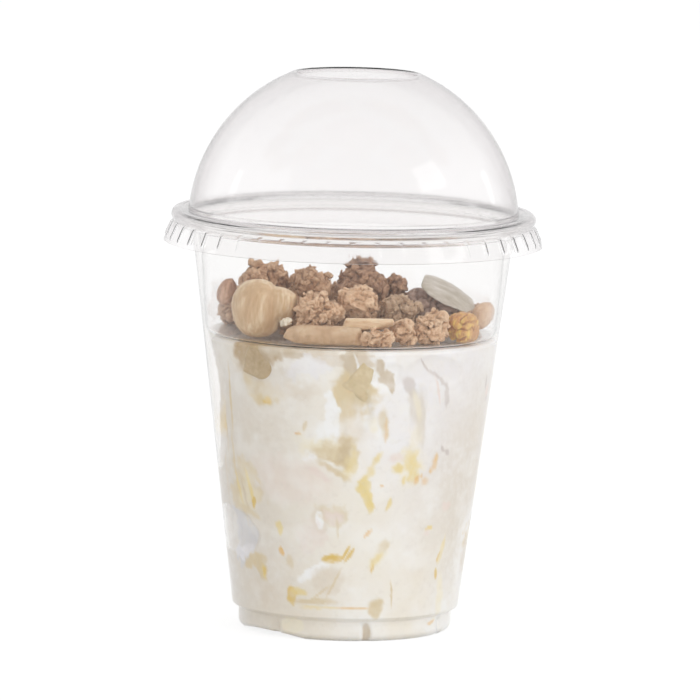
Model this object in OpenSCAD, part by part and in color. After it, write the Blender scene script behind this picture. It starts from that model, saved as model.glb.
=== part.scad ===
// Dessert cup of clear plastic, filled with fruit cream, with a tray of toppings and a dome lid.
// Millimetres. The cup stands on z = 0 round the z axis, and its front faces -y.
// Cup, tray and lid are thin formed sheets: each is the path that the middle of its sheet
// takes from the axis outward, turned round the axis.

/* [Cup] */
// Height of the cup, from the table to the top of its rolled rim
cup_h = 111.4; // [100:0.1:130]
// Radius of the wall just under the rim, outside
mouth_r = 43.6; // [40:0.1:50]
// Radius of the wall just above the foot, outside
base_r = 30.5; // [28:0.1:33]
// Thickness of the cup's sheet
cup_wall = 0.45; // [0.3:0.05:0.6]
// Radius of the rolled rim, to the middle of the sheet
curl_r = 1.6; // [1.2:0.05:2]
// How far the rolled rim turns under from level, in degrees
curl_end = 130; // [60:5:140]

/* [Foot] */
// Radius of the foot, outside
foot_r = 28.7; // [26:0.1:29.5]
// Height of the foot's side
foot_h = 5.5; // [4.8:0.1:8]
// Height of the sloping ledge between the foot and the wall
ledge_h = 1; // [0.8:0.1:3]
// Radius of the foot's lower edge
foot_round = 1.8; // [1.2:0.1:2.6]
// Height of the raised panel under the cup
panel_h = 4.5; // [2.5:0.1:6]
// Radius of the raised panel
panel_r = 19.5; // [15:0.1:20.5]
// Width of the slope from the raised panel down to the foot
panel_slope = 2; // [1.5:0.1:3]
// Radius of the bend round the raised panel's top
panel_bend = 1.6; // [1:0.1:2]
// Radius of the bend from the panel's slope to the foot
panel_low_bend = 1; // [0.8:0.1:1.4]
// Radius of the bends below and above the ledge
ledge_bend = 0.5; // [0.3:0.1:0.8]
// Number of lobes round the foot
lobes = 7; // [5:1:9]
// Angle of the first groove between lobes, from the front toward +x
first_groove = 11.6; // [0:0.1:50]
// Radius of the upright groove between two lobes
groove_r = 1.6; // [1:0.1:2.2]
// Depth of the upright groove in the foot's side
groove_depth = 1.2; // [0.8:0.1:1.8]
// Height of the upright groove
groove_h = 4.2; // [3.5:0.1:4.4]
// Number of low arches under the foot
arches = 2; // [2:1:3]
// Angle of the first arch, from the front toward +x
first_arch = -50; // [-90:1:90]
// Height of a low arch
arch_h = 1.4; // [0.6:0.1:1.6]
// Width of a low arch
arch_w = 25; // [12:0.5:26]

/* [Tray] */
// Depth of the tray, from the cup's rim to the underside of its floor
tray_depth = 31.6; // [24:0.1:38]
// Thickness of the tray's sheet
tray_wall = 0.4; // [0.3:0.05:0.6]
// Space between the tray's lower corner and the cup's wall
tray_gap = 0.4; // [0.3:0.05:0.8]
// Space between the tray and the cup's wall under the tray's step
neck_gap = 1.7; // [1.2:0.1:2.5]
// Radius between the tray's floor and its wall
tray_corner = 1.6; // [1.2:0.1:4]
// Rise of the tray's step from its inner edge to its outer edge
step_rise = 0.4; // [0.2:0.1:0.8]
// Radius of the bends at both edges of the tray's step
step_bend = 0.4; // [0.3:0.05:0.5]
// Radius of the bends at both edges of the tray's rim
tray_rim_bend = 0.7; // [0.5:0.05:0.8]
// Height from the top of the tray's step up to the cup's rim
step_drop = 1.8; // [1.4:0.1:4]
// Height of the tray's lip outside the cup's rim
lip_h = 1.4; // [0.8:0.1:2]

/* [Lid] */
// Thickness of the lid's sheet
lid_wall = 0.45; // [0.3:0.05:0.6]
// How far the centre of the dome's sphere lies below the lid's seat
dome_low = 3.3; // [1:0.1:8]
// Radius of the hole in the top of the dome
hole_r = 16; // [10:0.1:22]
// Width of the flat ring round the hole
hole_ring = 1; // [0.8:0.1:3]
// Height of the collar that turns down round the hole
collar_h = 1; // [0.8:0.1:3]
// Radius of the bend from the collar to the flat ring
collar_bend = 0.5; // [0.4:0.05:0.7]
// Height above the lid's seat at which the dome turns upright
dome_foot_h = 1.2; // [0.8:0.1:2]
// Radius of the bends from the dome through the flat to the bead
moat_bend = 0.4; // [0.3:0.05:0.5]
// Width of the flat between the dome and the middle of the bead
moat_w = 3.05; // [2.6:0.05:5]
// Height of the bead above the lid's seat
bead_h = 0.55; // [0.3:0.05:1]
// Radius of the bead, to the middle of the sheet
bead_r = 1.55; // [1.3:0.05:1.8]
// How far the bead stands out from the neck below it
bead_out = 0.45; // [0.3:0.05:0.8]
// Width of the slope from the flat up to the bead
bead_slope = 1; // [0.8:0.1:1.2]
// Width of the flat top between that slope and the middle of the bead
bead_flat = 1; // [0.8:0.1:1.2]
// How far the bead turns under from level, in degrees
bead_end = 35; // [25:5:45]
// Height from the bead's end down to the neck
neck_drop = 0.7; // [0.5:0.1:1]
// How far the flaring skirt stands out from the neck
flare = 2.1; // [1.4:0.1:3]
// Height of the flaring skirt
skirt_h = 4.7; // [4.2:0.1:7]
// How far the edge below the skirt stands out from it
edge_out = 0.35; // [0.2:0.05:0.6]
// Height of the edge below the skirt
edge_h = 0.8; // [0.6:0.1:1.4]
// Radius of the bends above and below the skirt
skirt_bend = 0.3; // [0.2:0.05:0.35]

/* [Ribs] */
// Number of hollow ribs round the skirt
ribs = 48; // [24:4:60]
// Radius of a rib, outside
rib_r = 0.8; // [0.65:0.05:1]
// Length of a rib down the skirt
rib_len = 3.9; // [2.5:0.1:4]

/* [Filling] */
// Space between the cream's top and the tray's floor
cream_drop = 0.3; // [0.2:0.1:10]
// Length of a large piece of peach
peach_size = 10; // [8:0.5:12]
// How far a piece of peach is sunk below the cup's wall, as a share of its depth
peach_sunk = 0.3; // [0.25:0.01:0.35]
// Number of sides round a topping
topping_sides = 14; // [12:2:20]
// Number of rings from the top to the bottom of a topping
topping_rings = 10; // [6:2:12]

/* [Fits] */
// Height that the tray stays clear of the cup's rim, and the lid of the tray
seat = 0.1; // [0.05:0.05:0.3]
// Space between the cup's rim and the tray round it
rim_gap = 0.3; // [0.2:0.05:0.6]
// Space between the tray's lip and the lid's neck
neck_clear = 0.6; // [0.4:0.05:1]
// Space between the cream and the cup's wall
cream_gap = 0.1; // [0.05:0.05:0.3]
// Space between a topping and what it lies on
topping_gap = 0.1; // [0.05:0.05:0.2]

/* [Hidden] */
$fn = 96;
FAR = 1000;
TINY = 0.001;
// How far a cutting form reaches past what it cuts
PAST = 1;
// Least space between a topping's middle and the tray's wall
WALL_ROOM = 3;
// Pieces whose middles lie within this many times their half sizes can touch
NEAR = 1.3;
// How the waves over a topping's face lean, and where each of them starts
WAVE_LEAN = [0.6, 0.7, -0.8];
WAVE_START = [1, 1.8, 2.7];

// Inner radius of a tray's floor for which the next table is written, and to which it is scaled
TABLE_R = 38.7;
// Name, form, middle of the piece from the tray's axis and floor, half sizes, turn
TOPPINGS = [
    ["blanched_nut", "nut", [-25.9, -20, 7.9], [6.8, 6.4, 8], [0, -8, -8]],
    ["blanched_half", "nut", [-17.4, -21.4, 8.9], [5, 4.2, 4.5], [0, 10, -20]],
    ["brown_almond", "almond", [-33.8, -3, 8.4], [4.8, 2.3, 2.8], [0, -76, 0]],
    ["biscuit_chip", "flake", [-7.8, -32.6, 2.7], [11.8, 2.9, 2.6], [0, 1, 1]],
    ["coconut_strip", "strip", [5.2, -30.4, 5.7], [7.4, 1.9, 1.7], [0, 0, 2]],
    ["golden_raisin", "raisin", [29.8, -19.4, 3.9], [4.4, 3.9, 3.9], [0, 20, -30]],
    ["dark_raisin", "raisin", [22.8, -3.8, 6.6], [9.6, 5.6, 4.2], [0, 25, 0]],
    ["tan_nut", "nut", [34.9, -7, 4.8], [4.6, 2.6, 3], [0, -62, 0]],
    ["pumpkin_seed", "seed", [25.2, -6.4, 11.5], [7.8, 4.6, 1.2], [27, 27, -4]],
    ["granola_1", "cluster", [-24.2, -4, 13.4], [8, 6, 5.6], [0, 0, 20]],
    ["granola_2", "cluster", [-10.8, -8, 12.9], [6.1, 5.8, 5.2], [0, 0, 70]],
    ["granola_3", "cluster", [2.6, -2, 13], [8.4, 6.6, 5.6], [0, 0, 0]],
    ["granola_4", "cluster", [-8.9, -23.4, 7.5], [7.2, 5.4, 5.5], [0, 15, 30]],
    ["granola_5", "cluster", [2, -16.6, 10], [6.9, 5.8, 4.8], [0, 0, 60]],
    ["granola_6", "cluster", [12.2, -13, 6.8], [5.6, 6, 5.2], [0, 0, 10]],
    ["granola_7", "cluster", [7.5, -32.6, 2.3], [4.8, 3.3, 2.5], [0, 0, 0]],
    ["granola_8", "cluster", [14.4, -28.6, 3.2], [3, 4, 3.4], [0, 0, 25]],
    ["granola_9", "cluster", [21.2, -24.4, 4.6], [5, 5, 4.8], [0, 0, 50]],
    ["granola_10", "cluster", [30, 13, 3.4], [6, 7, 3.2], [0, 0, 10]],
    ["granola_11", "cluster", [22.4, 25, 3.8], [6.8, 6.2, 3.8], [0, 0, 60]],
    ["granola_12", "cluster", [7.6, 31, 5], [7, 5.8, 5.2], [0, 0, 15]],
    ["granola_13", "cluster", [-8, 31, 5], [7.2, 6, 5.4], [0, 0, 40]],
    ["granola_14", "cluster", [-22, 25, 5.2], [6.8, 6.6, 5.6], [0, 0, 0]],
    ["granola_15", "cluster", [-31.4, 11, 3.8], [5.6, 6.4, 3.8], [0, 0, 75]],
    ["granola_16", "cluster", [15.4, 9, 4.8], [7.4, 7.4, 4.8], [0, 0, 35]],
    ["granola_17", "cluster", [0, 16.6, 6.4], [8.6, 7.8, 6.6], [0, 0, 5]],
    ["granola_18", "cluster", [-15.6, 11, 6.2], [8.2, 8, 6.8], [0, 0, 50]],
    ["granola_19", "cluster", [-14, -13, 5.4], [8, 7.6, 5.6], [0, 0, 10]],
    ["granola_20", "cluster", [0.6, -4, 4.6], [8.4, 8.4, 5], [0, 0, 80]],
    ["granola_21", "cluster", [-25.6, -1, 4.6], [7.4, 7.4, 4.8], [0, 0, 0]],
    ["granola_22", "cluster", [12, -0.6, 13.2], [2.7, 3.2, 2.8], [0, 0, 30]],
    ["granola_23", "cluster", [2.6, 0.4, 18.6], [5.6, 3.4, 1.4], [0, 0, 5]],
    ["cranberry", "raisin", [-24.4, 10.6, 10.4], [5.2, 4.2, 3.6], [0, 10, 40]]
];

// Turn from the front toward +x, height as a share of the cream's, size as a share of a large
// piece's length, and turn of each piece of peach
PEACHES = [
    [-38, 0.94, [1.2, 0.9, 0.9], [20, 10, 30]],
    [5, 0.9, [0.8, 0.7, 0.9], [0, 35, 20]],
    [7.6, 0.515, [0.45, 0.6, 0.6], [30, 20, 45]],
    [-8, 0.295, [0.55, 0.6, 0.5], [10, 40, 20]],
    [-24, 0.138, [0.65, 0.6, 0.55], [0, 38, 12]],
    [44, 0.376, [0.55, 0.6, 0.7], [35, 15, 40]],
    [118, 0.73, [0.8, 0.8, 0.7], [25, 30, 10]],
    [165, 0.415, [0.7, 0.8, 0.9], [40, 10, 25]],
    [-142, 0.83, [0.9, 0.8, 0.8], [15, 25, 50]],
    [-96, 0.25, [0.7, 0.7, 0.8], [30, 35, 5]]
];

// Turn from the front toward +x, height as a share of the cream's, depth and half height of each
// hollow that the cream leaves at the wall
HOLLOWS = [
    [-84, 0.79, 5.2, 18.5],
    [-76, 0.345, 2.6, 6.2],
    [-54, 0.34, 2, 5.4]
];

// Places on the cup
ledge_top = foot_h + ledge_h;
curl_z = cup_h - cup_wall / 2 - curl_r;
lean = atan((mouth_r - base_r) / (cup_h - curl_r - ledge_top));
wall_top = curl_z + curl_r * sin(lean);
curl_mid = cup_mid(wall_top) + curl_r * cos(lean);
rim_r = curl_mid + curl_r + cup_wall / 2;
arch_r = (arch_w * arch_w / 4 + arch_h * arch_h) / (2 * arch_h);

// Places on the tray
tray_under = cup_h - tray_depth;
tray_floor = tray_under + tray_wall;
tray_step = cup_h - step_drop;
tray_low_r = cup_inside(tray_under + tray_corner) - tray_gap - tray_wall / 2;
tray_neck_r = cup_inside(tray_step) - neck_gap - tray_wall / 2;
tray_seat_r = cup_inside(tray_step) - rim_gap - tray_wall / 2;
tray_top = cup_h + seat + tray_wall;
lip_r = rim_r + rim_gap + tray_wall / 2;
tray_slope = (tray_neck_r - tray_low_r) / (tray_step - tray_under);
tray_inside_r = tray_low_r - tray_wall / 2 - topping_gap;
corner_cut = (2 - sqrt(2)) * tray_corner;
topping_scale = tray_inside_r / TABLE_R;
cream_top = tray_under - cream_drop;

// Places on the lid
lid_seat = tray_top + seat + lid_wall / 2;
neck_r = lip_r + tray_wall / 2 + neck_clear + lid_wall / 2;
bead_mid = neck_r + bead_out - bead_r;
bead_z = lid_seat + bead_h - bead_r;
dome_foot = bead_mid - moat_w;
dome_z = lid_seat - dome_low;
dome_r = norm([dome_foot, dome_low]);
ring_r = hole_r + lid_wall / 2;
ring_angle = acos((ring_r + hole_ring) / dome_r);
ring_z = dome_z + dome_r * sin(ring_angle);
bead_low = [bead_mid + bead_r * cos(bead_end), bead_z - bead_r * sin(bead_end)];
neck_z = bead_low.y - neck_drop;
skirt_end = [neck_r + flare, neck_z - skirt_h];
skirt_lean = atan(flare / skirt_h);

// Sheet paths
function unit(v) = v / norm(v);
function left_of(v) = [-v.y, v.x];
function turned(v, a) = [v.x * cos(a) - v.y * sin(a), v.x * sin(a) + v.y * cos(a)];
function reversed(list) = [for (i = [len(list) - 1:-1:0]) list[i]];
function after_first(list) = [for (i = [1:len(list) - 1]) list[i]];

// Arc from one angle to another, in steps of at most the given angle
function arc(centre, r, from, to, step = 15) =
    let (steps = ceil(abs(to - from) / step))
    [for (i = [0:steps]) centre + turned([r, 0], from + (to - from) * i / steps)];

// Round bend of radius r at corner b between a and c
function bend(a, b, c, r) =
    let (
        back = unit(a - b),
        on = unit(c - b),
        half = acos(back * on) / 2,
        centre = b + unit(back + on) * r / sin(half),
        start = b + back * r / tan(half) - centre,
        first = atan2(start.y, start.x),
        swing = (2 * half - 180) * sign(cross(back, on))
    )
    arc(centre, r, first, first + swing);

// Path through corners given as [r, z, bend radius]
function rounded(corners) =
    let (at = [for (c = corners) [c[0], c[1]]])
    [
        for (i = [0:len(at) - 1])
            each corners[i][2] == 0 ? [at[i]] : bend(at[i - 1], at[i], at[i + 1], corners[i][2])
    ];

// The same path moved to its left by d
function beside(path, d) =
    let (last = len(path) - 1)
    [
        for (i = [0:last])
            let (
                before = unit(path[max(i, 1)] - path[max(i, 1) - 1]),
                after = unit(path[min(i, last - 1) + 1] - path[min(i, last - 1)])
            )
            path[i] + (left_of(before) + left_of(after)) * d / (1 + before * after)
    ];

// Sheet of thickness t along a path, turned round the axis
module sheet(path, t) {
    rotate_extrude()
        polygon(concat(beside(path, t / 2), reversed(beside(path, -t / 2))));
}

// Solid inside a path that starts on the axis
module inside_of(path) {
    rotate_extrude()
        polygon(concat(path, [[0, path[len(path) - 1].y]]));
}

// Radius of the cup's wall at a height, in the middle of the sheet and inside
function cup_mid(z) = base_r - cup_wall / 2
    + (z - ledge_top) * (mouth_r - base_r) / (cup_h - curl_r - ledge_top);
function cup_inside(z) = cup_mid(z) - cup_wall / 2 / cos(lean);

// Path of the cup from the middle of its base up to height z
function cup_path(z) = rounded([
    [0, panel_h + cup_wall / 2, 0],
    [panel_r, panel_h + cup_wall / 2, panel_bend],
    [panel_r + panel_slope, cup_wall / 2, panel_low_bend],
    [foot_r - cup_wall / 2, cup_wall / 2, foot_round],
    [foot_r - cup_wall / 2, foot_h, ledge_bend],
    [base_r - cup_wall / 2, ledge_top, ledge_bend],
    [cup_mid(z), z, 0]
]);

// Space of the grooves between the lobes and of the low arches, grown by the given thickness
module foot_gaps(grow) {
    for (k = [0:lobes - 1])
        rotate(first_groove - 90 + k * 360 / lobes)
        translate([foot_r + groove_r - groove_depth, 0, -PAST])
            cylinder(r = groove_r + grow, h = PAST + groove_h + grow);
    for (k = [0:arches - 1])
        rotate(first_arch - 90 + k * 360 / arches)
        translate([panel_r, 0, 0])
        rotate([90, 0, 90])
        linear_extrude(foot_r - panel_r + PAST)
        intersection() {
            translate([0, arch_h - arch_r])
                circle(r = arch_r + grow);
            translate([-arch_w, -PAST])
                square([2 * arch_w, 2 * PAST + arch_h + grow]);
        }
}

module cup() {
    curl_at = [curl_mid, curl_z];
    curl = arc(curl_at, curl_r, 180 - lean, -curl_end);
    color("whitesmoke", 0.5)
    difference() {
        union() {
            sheet(concat(cup_path(wall_top), after_first(curl)), cup_wall);
            intersection() {
                foot_gaps(cup_wall);
                inside_of(cup_path(ledge_top + PAST));
            }
        }
        foot_gaps(0);
    }
}

module topping_tray() {
    path = rounded([
        [0, tray_under + tray_wall / 2, 0],
        [tray_low_r, tray_under + tray_wall / 2, tray_corner],
        [tray_neck_r, tray_step, step_bend],
        [tray_seat_r, tray_step + step_rise, step_bend],
        [tray_seat_r, tray_top - tray_wall / 2, tray_rim_bend],
        [lip_r, tray_top - tray_wall / 2, tray_rim_bend],
        [lip_r, tray_top - tray_wall / 2 - lip_h, 0]
    ]);
    color("gainsboro", 0.5)
        sheet(path, tray_wall);
}

// Ribs down the skirt, as rods of the given radius whose middle lies on the skirt's inner face
module rib_rods(r) {
    start = (skirt_h / cos(skirt_lean) - rib_len) / 2;
    for (k = [0:ribs - 1])
        rotate(k * 360 / ribs)
        translate([neck_r, 0, neck_z])
        rotate([0, 180 - skirt_lean, 0])
        translate([lid_wall / 2, 0, start])
            cylinder(r = r, h = rib_len, $fn = 32);
}

module dome_lid() {
    dome_end = asin((dome_low + dome_foot_h) / dome_r);
    path = concat(
        rounded([
            [ring_r, ring_z - collar_h, 0],
            [ring_r, ring_z, collar_bend],
            [ring_r + hole_ring, ring_z, 0]
        ]),
        after_first(arc([0, dome_z], dome_r, ring_angle, dome_end, 4)),
        after_first(rounded([
            [dome_foot, lid_seat + dome_foot_h, 0],
            [dome_foot, lid_seat, moat_bend],
            [bead_mid - bead_flat - bead_slope, lid_seat, moat_bend],
            [bead_mid - bead_flat, lid_seat + bead_h, moat_bend],
            [bead_mid, lid_seat + bead_h, 0]
        ])),
        after_first(arc([bead_mid, bead_z], bead_r, 90, -bead_end)),
        after_first(rounded([
            [bead_low.x, bead_low.y, 0],
            [neck_r, neck_z, skirt_bend],
            [skirt_end.x, skirt_end.y, skirt_bend],
            [skirt_end.x + edge_out, skirt_end.y - edge_h, 0]
        ]))
    );
    color("whitesmoke", 0.5)
    difference() {
        union() {
            sheet(path, lid_wall);
            difference() {
                rib_rods(rib_r);
                translate([0, 0, skirt_end.y])
                    cylinder(r1 = skirt_end.x, r2 = neck_r, h = skirt_h);
            }
        }
        rib_rods(rib_r - lid_wall);
    }
}

// All that the cream and the peach in it fill
module filling() {
    difference() {
        inside_of(beside(cup_path(cream_top), cup_wall / 2 + cream_gap));
        foot_gaps(cup_wall + cream_gap);
    }
}

function peach_name(i) = str("peach_", i + 1);

// Block of one piece of peach against the cup's wall, grown on every side
module peach_block(p, grow) {
    size = peach_size * p[2];
    at = cream_top * p[1];
    rotate(p[0])
    translate([0, peach_sunk * size.y - cup_inside(at), at])
    rotate(p[3])
        cube([size.x + 2 * grow, size.y + 2 * grow, size.z + 2 * grow], center = true);
}

// Hollow between the cream and the cup's wall, as the part of a ball that reaches in past the wall
module hollow(h) {
    at = cream_top * h[1];
    ball_r = (h[3] * h[3] + h[2] * h[2]) / (2 * h[2]);
    rotate(h[0])
    translate([0, h[2] - ball_r - cup_inside(at), at])
        sphere(r = ball_r);
}

module peach(i) {
    color("goldenrod")
    intersection() {
        filling();
        peach_block(PEACHES[i], 0);
    }
}

module cream() {
    color("ivory")
    difference() {
        filling();
        for (p = PEACHES)
            peach_block(p, topping_gap);
        for (h = HOLLOWS)
            hollow(h);
    }
}

// A topping's form: how square it is, how high and how close its lumps are, how pointed it is
function form_of(kind) =
    kind == "cluster" ? [2, 0.2, 4, 0]
    : kind == "nut" ? [2.2, 0.02, 1.5, 0.12]
    : kind == "almond" ? [2, 0.01, 1.2, 0.3]
    : kind == "raisin" ? [2.4, 0.07, 4, 0]
    : kind == "seed" ? [2, 0, 1, 0.25]
    : kind == "flake" ? [3, 0.04, 2, 0]
    : [5, 0.01, 1, 0];

function colour_of(kind) =
    kind == "cluster" ? "peru"
    : kind == "nut" ? "burlywood"
    : kind == "almond" ? "sienna"
    : kind == "raisin" ? "saddlebrown"
    : kind == "seed" ? "darkkhaki"
    : "tan";

// Turn by three angles, about x, then y, then z
function turn_about(a) =
    let (
        about_x = [[1, 0, 0], [0, cos(a.x), -sin(a.x)], [0, sin(a.x), cos(a.x)]],
        about_y = [[cos(a.y), 0, sin(a.y)], [0, 1, 0], [-sin(a.y), 0, cos(a.y)]],
        about_z = [[cos(a.z), -sin(a.z), 0], [sin(a.z), cos(a.z), 0], [0, 0, 1]]
    )
    about_z * about_y * about_x;

// Half sizes of a topping in this tray
function size_of(t) = topping_scale * t[3];

// Middle of a topping, drawn in where the tray is too narrow for it
function middle_of(t) =
    let (
        at = topping_scale * t[2],
        inward = min(1, (tray_inside_r - WALL_ROOM) / norm([at.x, at.y]))
    )
    [at.x * inward, at.y * inward, at.z];

// Distance from a topping's middle to its smooth face, in a direction of its own
function smooth_reach(t, u) =
    let (
        form = form_of(t[1]),
        size = size_of(t),
        sum = pow(abs(u.x / size.x), form[0]) + pow(abs(u.y / size.y), form[0])
            + pow(abs(u.z / size.z), form[0])
    )
    pow(sum, -1 / form[0]) * (1 + form[3] * pow(max(0, u.x), 8));

// Waves over a topping's face, between -1 and 1
function waves(u, count, start) =
    let (per_turn = 180 / PI * count)
    (sin(per_turn * (u.x + WAVE_LEAN.x * u.y) + WAVE_START.x * start)
    + sin(per_turn * (u.y + WAVE_LEAN.y * u.z) + WAVE_START.y * start)
    + sin(per_turn * (u.z + WAVE_LEAN.z * u.x) + WAVE_START.z * start)) / 3;

// Distance from c along u to a cone round the axis of radius r at the floor and of slope s
function to_cone(c, u, r, s) =
    let (
        wide = r + s * c.z,
        a = u.x * u.x + u.y * u.y - s * s * u.z * u.z,
        b = c.x * u.x + c.y * u.y - s * u.z * wide,
        inner = c.x * c.x + c.y * c.y - wide * wide,
        root = b * b - a * inner,
        under = root < 0 ? 0 : b + sqrt(root)
    )
    under > TINY ? -inner / under : FAR;

// Distance from c along u to the tray's wall, its round corner and its floor
function to_tray(c, u) = min(
    to_cone(c, u, tray_inside_r, tray_slope),
    to_cone(c, u, tray_inside_r - corner_cut, 1 + tray_slope),
    u.z < 0 ? (topping_gap - c.z) / u.z : FAR
);

// Planes that part topping i from those near it, each as its direction and distance
function parting(i) =
    let (
        own = TOPPINGS[i],
        c = middle_of(own),
        own_turn = turn_about(own[4])
    )
    [
        for (other = TOPPINGS)
            let (
                way = middle_of(other) - c,
                apart = norm(way)
            )
            if (other[0] != own[0] && apart < NEAR * (max(size_of(own)) + max(size_of(other))))
                let (
                    dir = way / apart,
                    r = smooth_reach(own, dir * own_turn),
                    r_other = smooth_reach(other, -dir * turn_about(other[4]))
                )
                [dir, apart * r / (r + r_other) - topping_gap]
    ];

module topping(i) {
    t = TOPPINGS[i];
    c = middle_of(t);
    turn = turn_about(t[4]);
    planes = parting(i);
    form = form_of(t[1]);
    n = topping_sides;
    last = (topping_rings - 1) * n + 1;
    directions = concat(
        [[0, 0, 1]],
        [
            for (k = [1:topping_rings - 1], j = [0:n - 1])
                let (down = 180 * k / topping_rings, round = 360 * (j + (k - topping_rings / 2) / 2) / n)
                [sin(down) * cos(round), sin(down) * sin(round), cos(down)]
        ],
        [[0, 0, -1]]
    );
    points = [
        for (own = directions)
            let (
                u = turn * own,
                lumps = 1 + form[1] * waves(own, form[2], 73 * i),
                cuts = [for (p = planes) if (u * p[0] > TINY) p[1] / (u * p[0])]
            )
            c + u * min(concat(cuts, [smooth_reach(t, own) * lumps, to_tray(c, u)]))
    ];
    faces = concat(
        [for (j = [0:n - 1]) [0, 1 + (j + 1) % n, 1 + j]],
        [
            for (k = [0:topping_rings - 3], j = [0:n - 1])
                let (a = 1 + k * n + j, b = 1 + k * n + (j + 1) % n)
                each [[a, b, a + n], [b, b + n, a + n]]
        ],
        [for (j = [0:n - 1]) [last, last - n + j, last - n + (j + 1) % n]]
    );
    color(colour_of(t[1]))
    translate([0, 0, tray_floor])
        polyhedron(points, faces);
}

cup();
topping_tray();
dome_lid();
cream();
for (i = [0:len(PEACHES) - 1])
    peach(i);
for (i = [0:len(TOPPINGS) - 1])
    topping(i);
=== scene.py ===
"""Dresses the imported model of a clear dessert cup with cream, toppings and a dome lid."""
import logging
import math
import random
from dataclasses import dataclass, field
from enum import Enum
from typing import Optional, Sequence, Union

import bmesh
import bpy
import numpy as np
from mathutils import Matrix, Quaternion, Vector, noise


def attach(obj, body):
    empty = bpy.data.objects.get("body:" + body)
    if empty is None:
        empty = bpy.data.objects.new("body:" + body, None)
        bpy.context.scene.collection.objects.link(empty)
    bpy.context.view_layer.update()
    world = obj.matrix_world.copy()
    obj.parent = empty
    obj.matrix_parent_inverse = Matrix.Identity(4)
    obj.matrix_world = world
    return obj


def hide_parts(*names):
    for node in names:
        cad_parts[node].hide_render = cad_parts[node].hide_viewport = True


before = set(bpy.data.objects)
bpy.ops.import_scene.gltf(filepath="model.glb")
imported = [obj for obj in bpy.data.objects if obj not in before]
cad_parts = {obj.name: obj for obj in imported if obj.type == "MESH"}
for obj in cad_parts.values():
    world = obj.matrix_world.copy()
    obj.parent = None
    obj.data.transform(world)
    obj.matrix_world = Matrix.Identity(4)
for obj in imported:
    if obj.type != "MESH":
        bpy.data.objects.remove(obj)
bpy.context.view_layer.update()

MM = 0.001
FULL_TURN = 2 * math.pi
NOISE_SEED = 3
TONE_STOPS = (0.34, 0.5, 0.66)

log = logging.getLogger("dessert_cup")

Colour = tuple[float, float, float, float]
Shade = tuple[float, ...]
Point = tuple[float, float]
Value = Union["Wire", float, int, Sequence[float]]


def paint(red: float, green: float, blue: float) -> Colour:
    """Turns a screen colour of 0 to 255 into the linear colour that a material takes.

    Args:
        red: share of red.
        green: share of green.
        blue: share of blue.

    Returns:
        The linear colour with an alpha of 1.
    """
    linear = []
    for share in (red, green, blue):
        s = share / 255
        linear.append(s / 12.92 if s <= 0.04045 else ((s + 0.055) / 1.055) ** 2.4)
    return (linear[0], linear[1], linear[2], 1.0)


# Materials


class Wire:
    """A value on its way through a material. Arithmetic on it adds Math nodes."""

    def __init__(self, recipe: "Recipe", socket: bpy.types.NodeSocket) -> None:
        """Keeps the recipe that the value belongs to and the socket it comes from."""
        self.recipe = recipe
        self.socket = socket

    def _math(self, operation: str, first: Value, second: Value) -> "Wire":
        """Adds one Math node."""
        return self.recipe.node("Math", {"operation": operation}, {0: first, 1: second})

    def __add__(self, other: Value) -> "Wire":
        """self + other."""
        return self._math("ADD", self, other)

    def __rsub__(self, other: Value) -> "Wire":
        """other - self."""
        return self._math("SUBTRACT", other, self)

    def __rmul__(self, other: Value) -> "Wire":
        """other * self."""
        return self._math("MULTIPLY", other, self)

    def greater_of(self, other: Value) -> "Wire":
        """The greater of the two."""
        return self._math("MAXIMUM", self, other)

    def ramped(self, low: float, high: float) -> "Wire":
        """0 below low, 1 above high, and a smooth rise between them."""
        return self.recipe.node(
            "MapRange",
            {"interpolation_type": "SMOOTHSTEP"},
            {"Value": self, "From Min": low, "From Max": high},
        )


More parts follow.
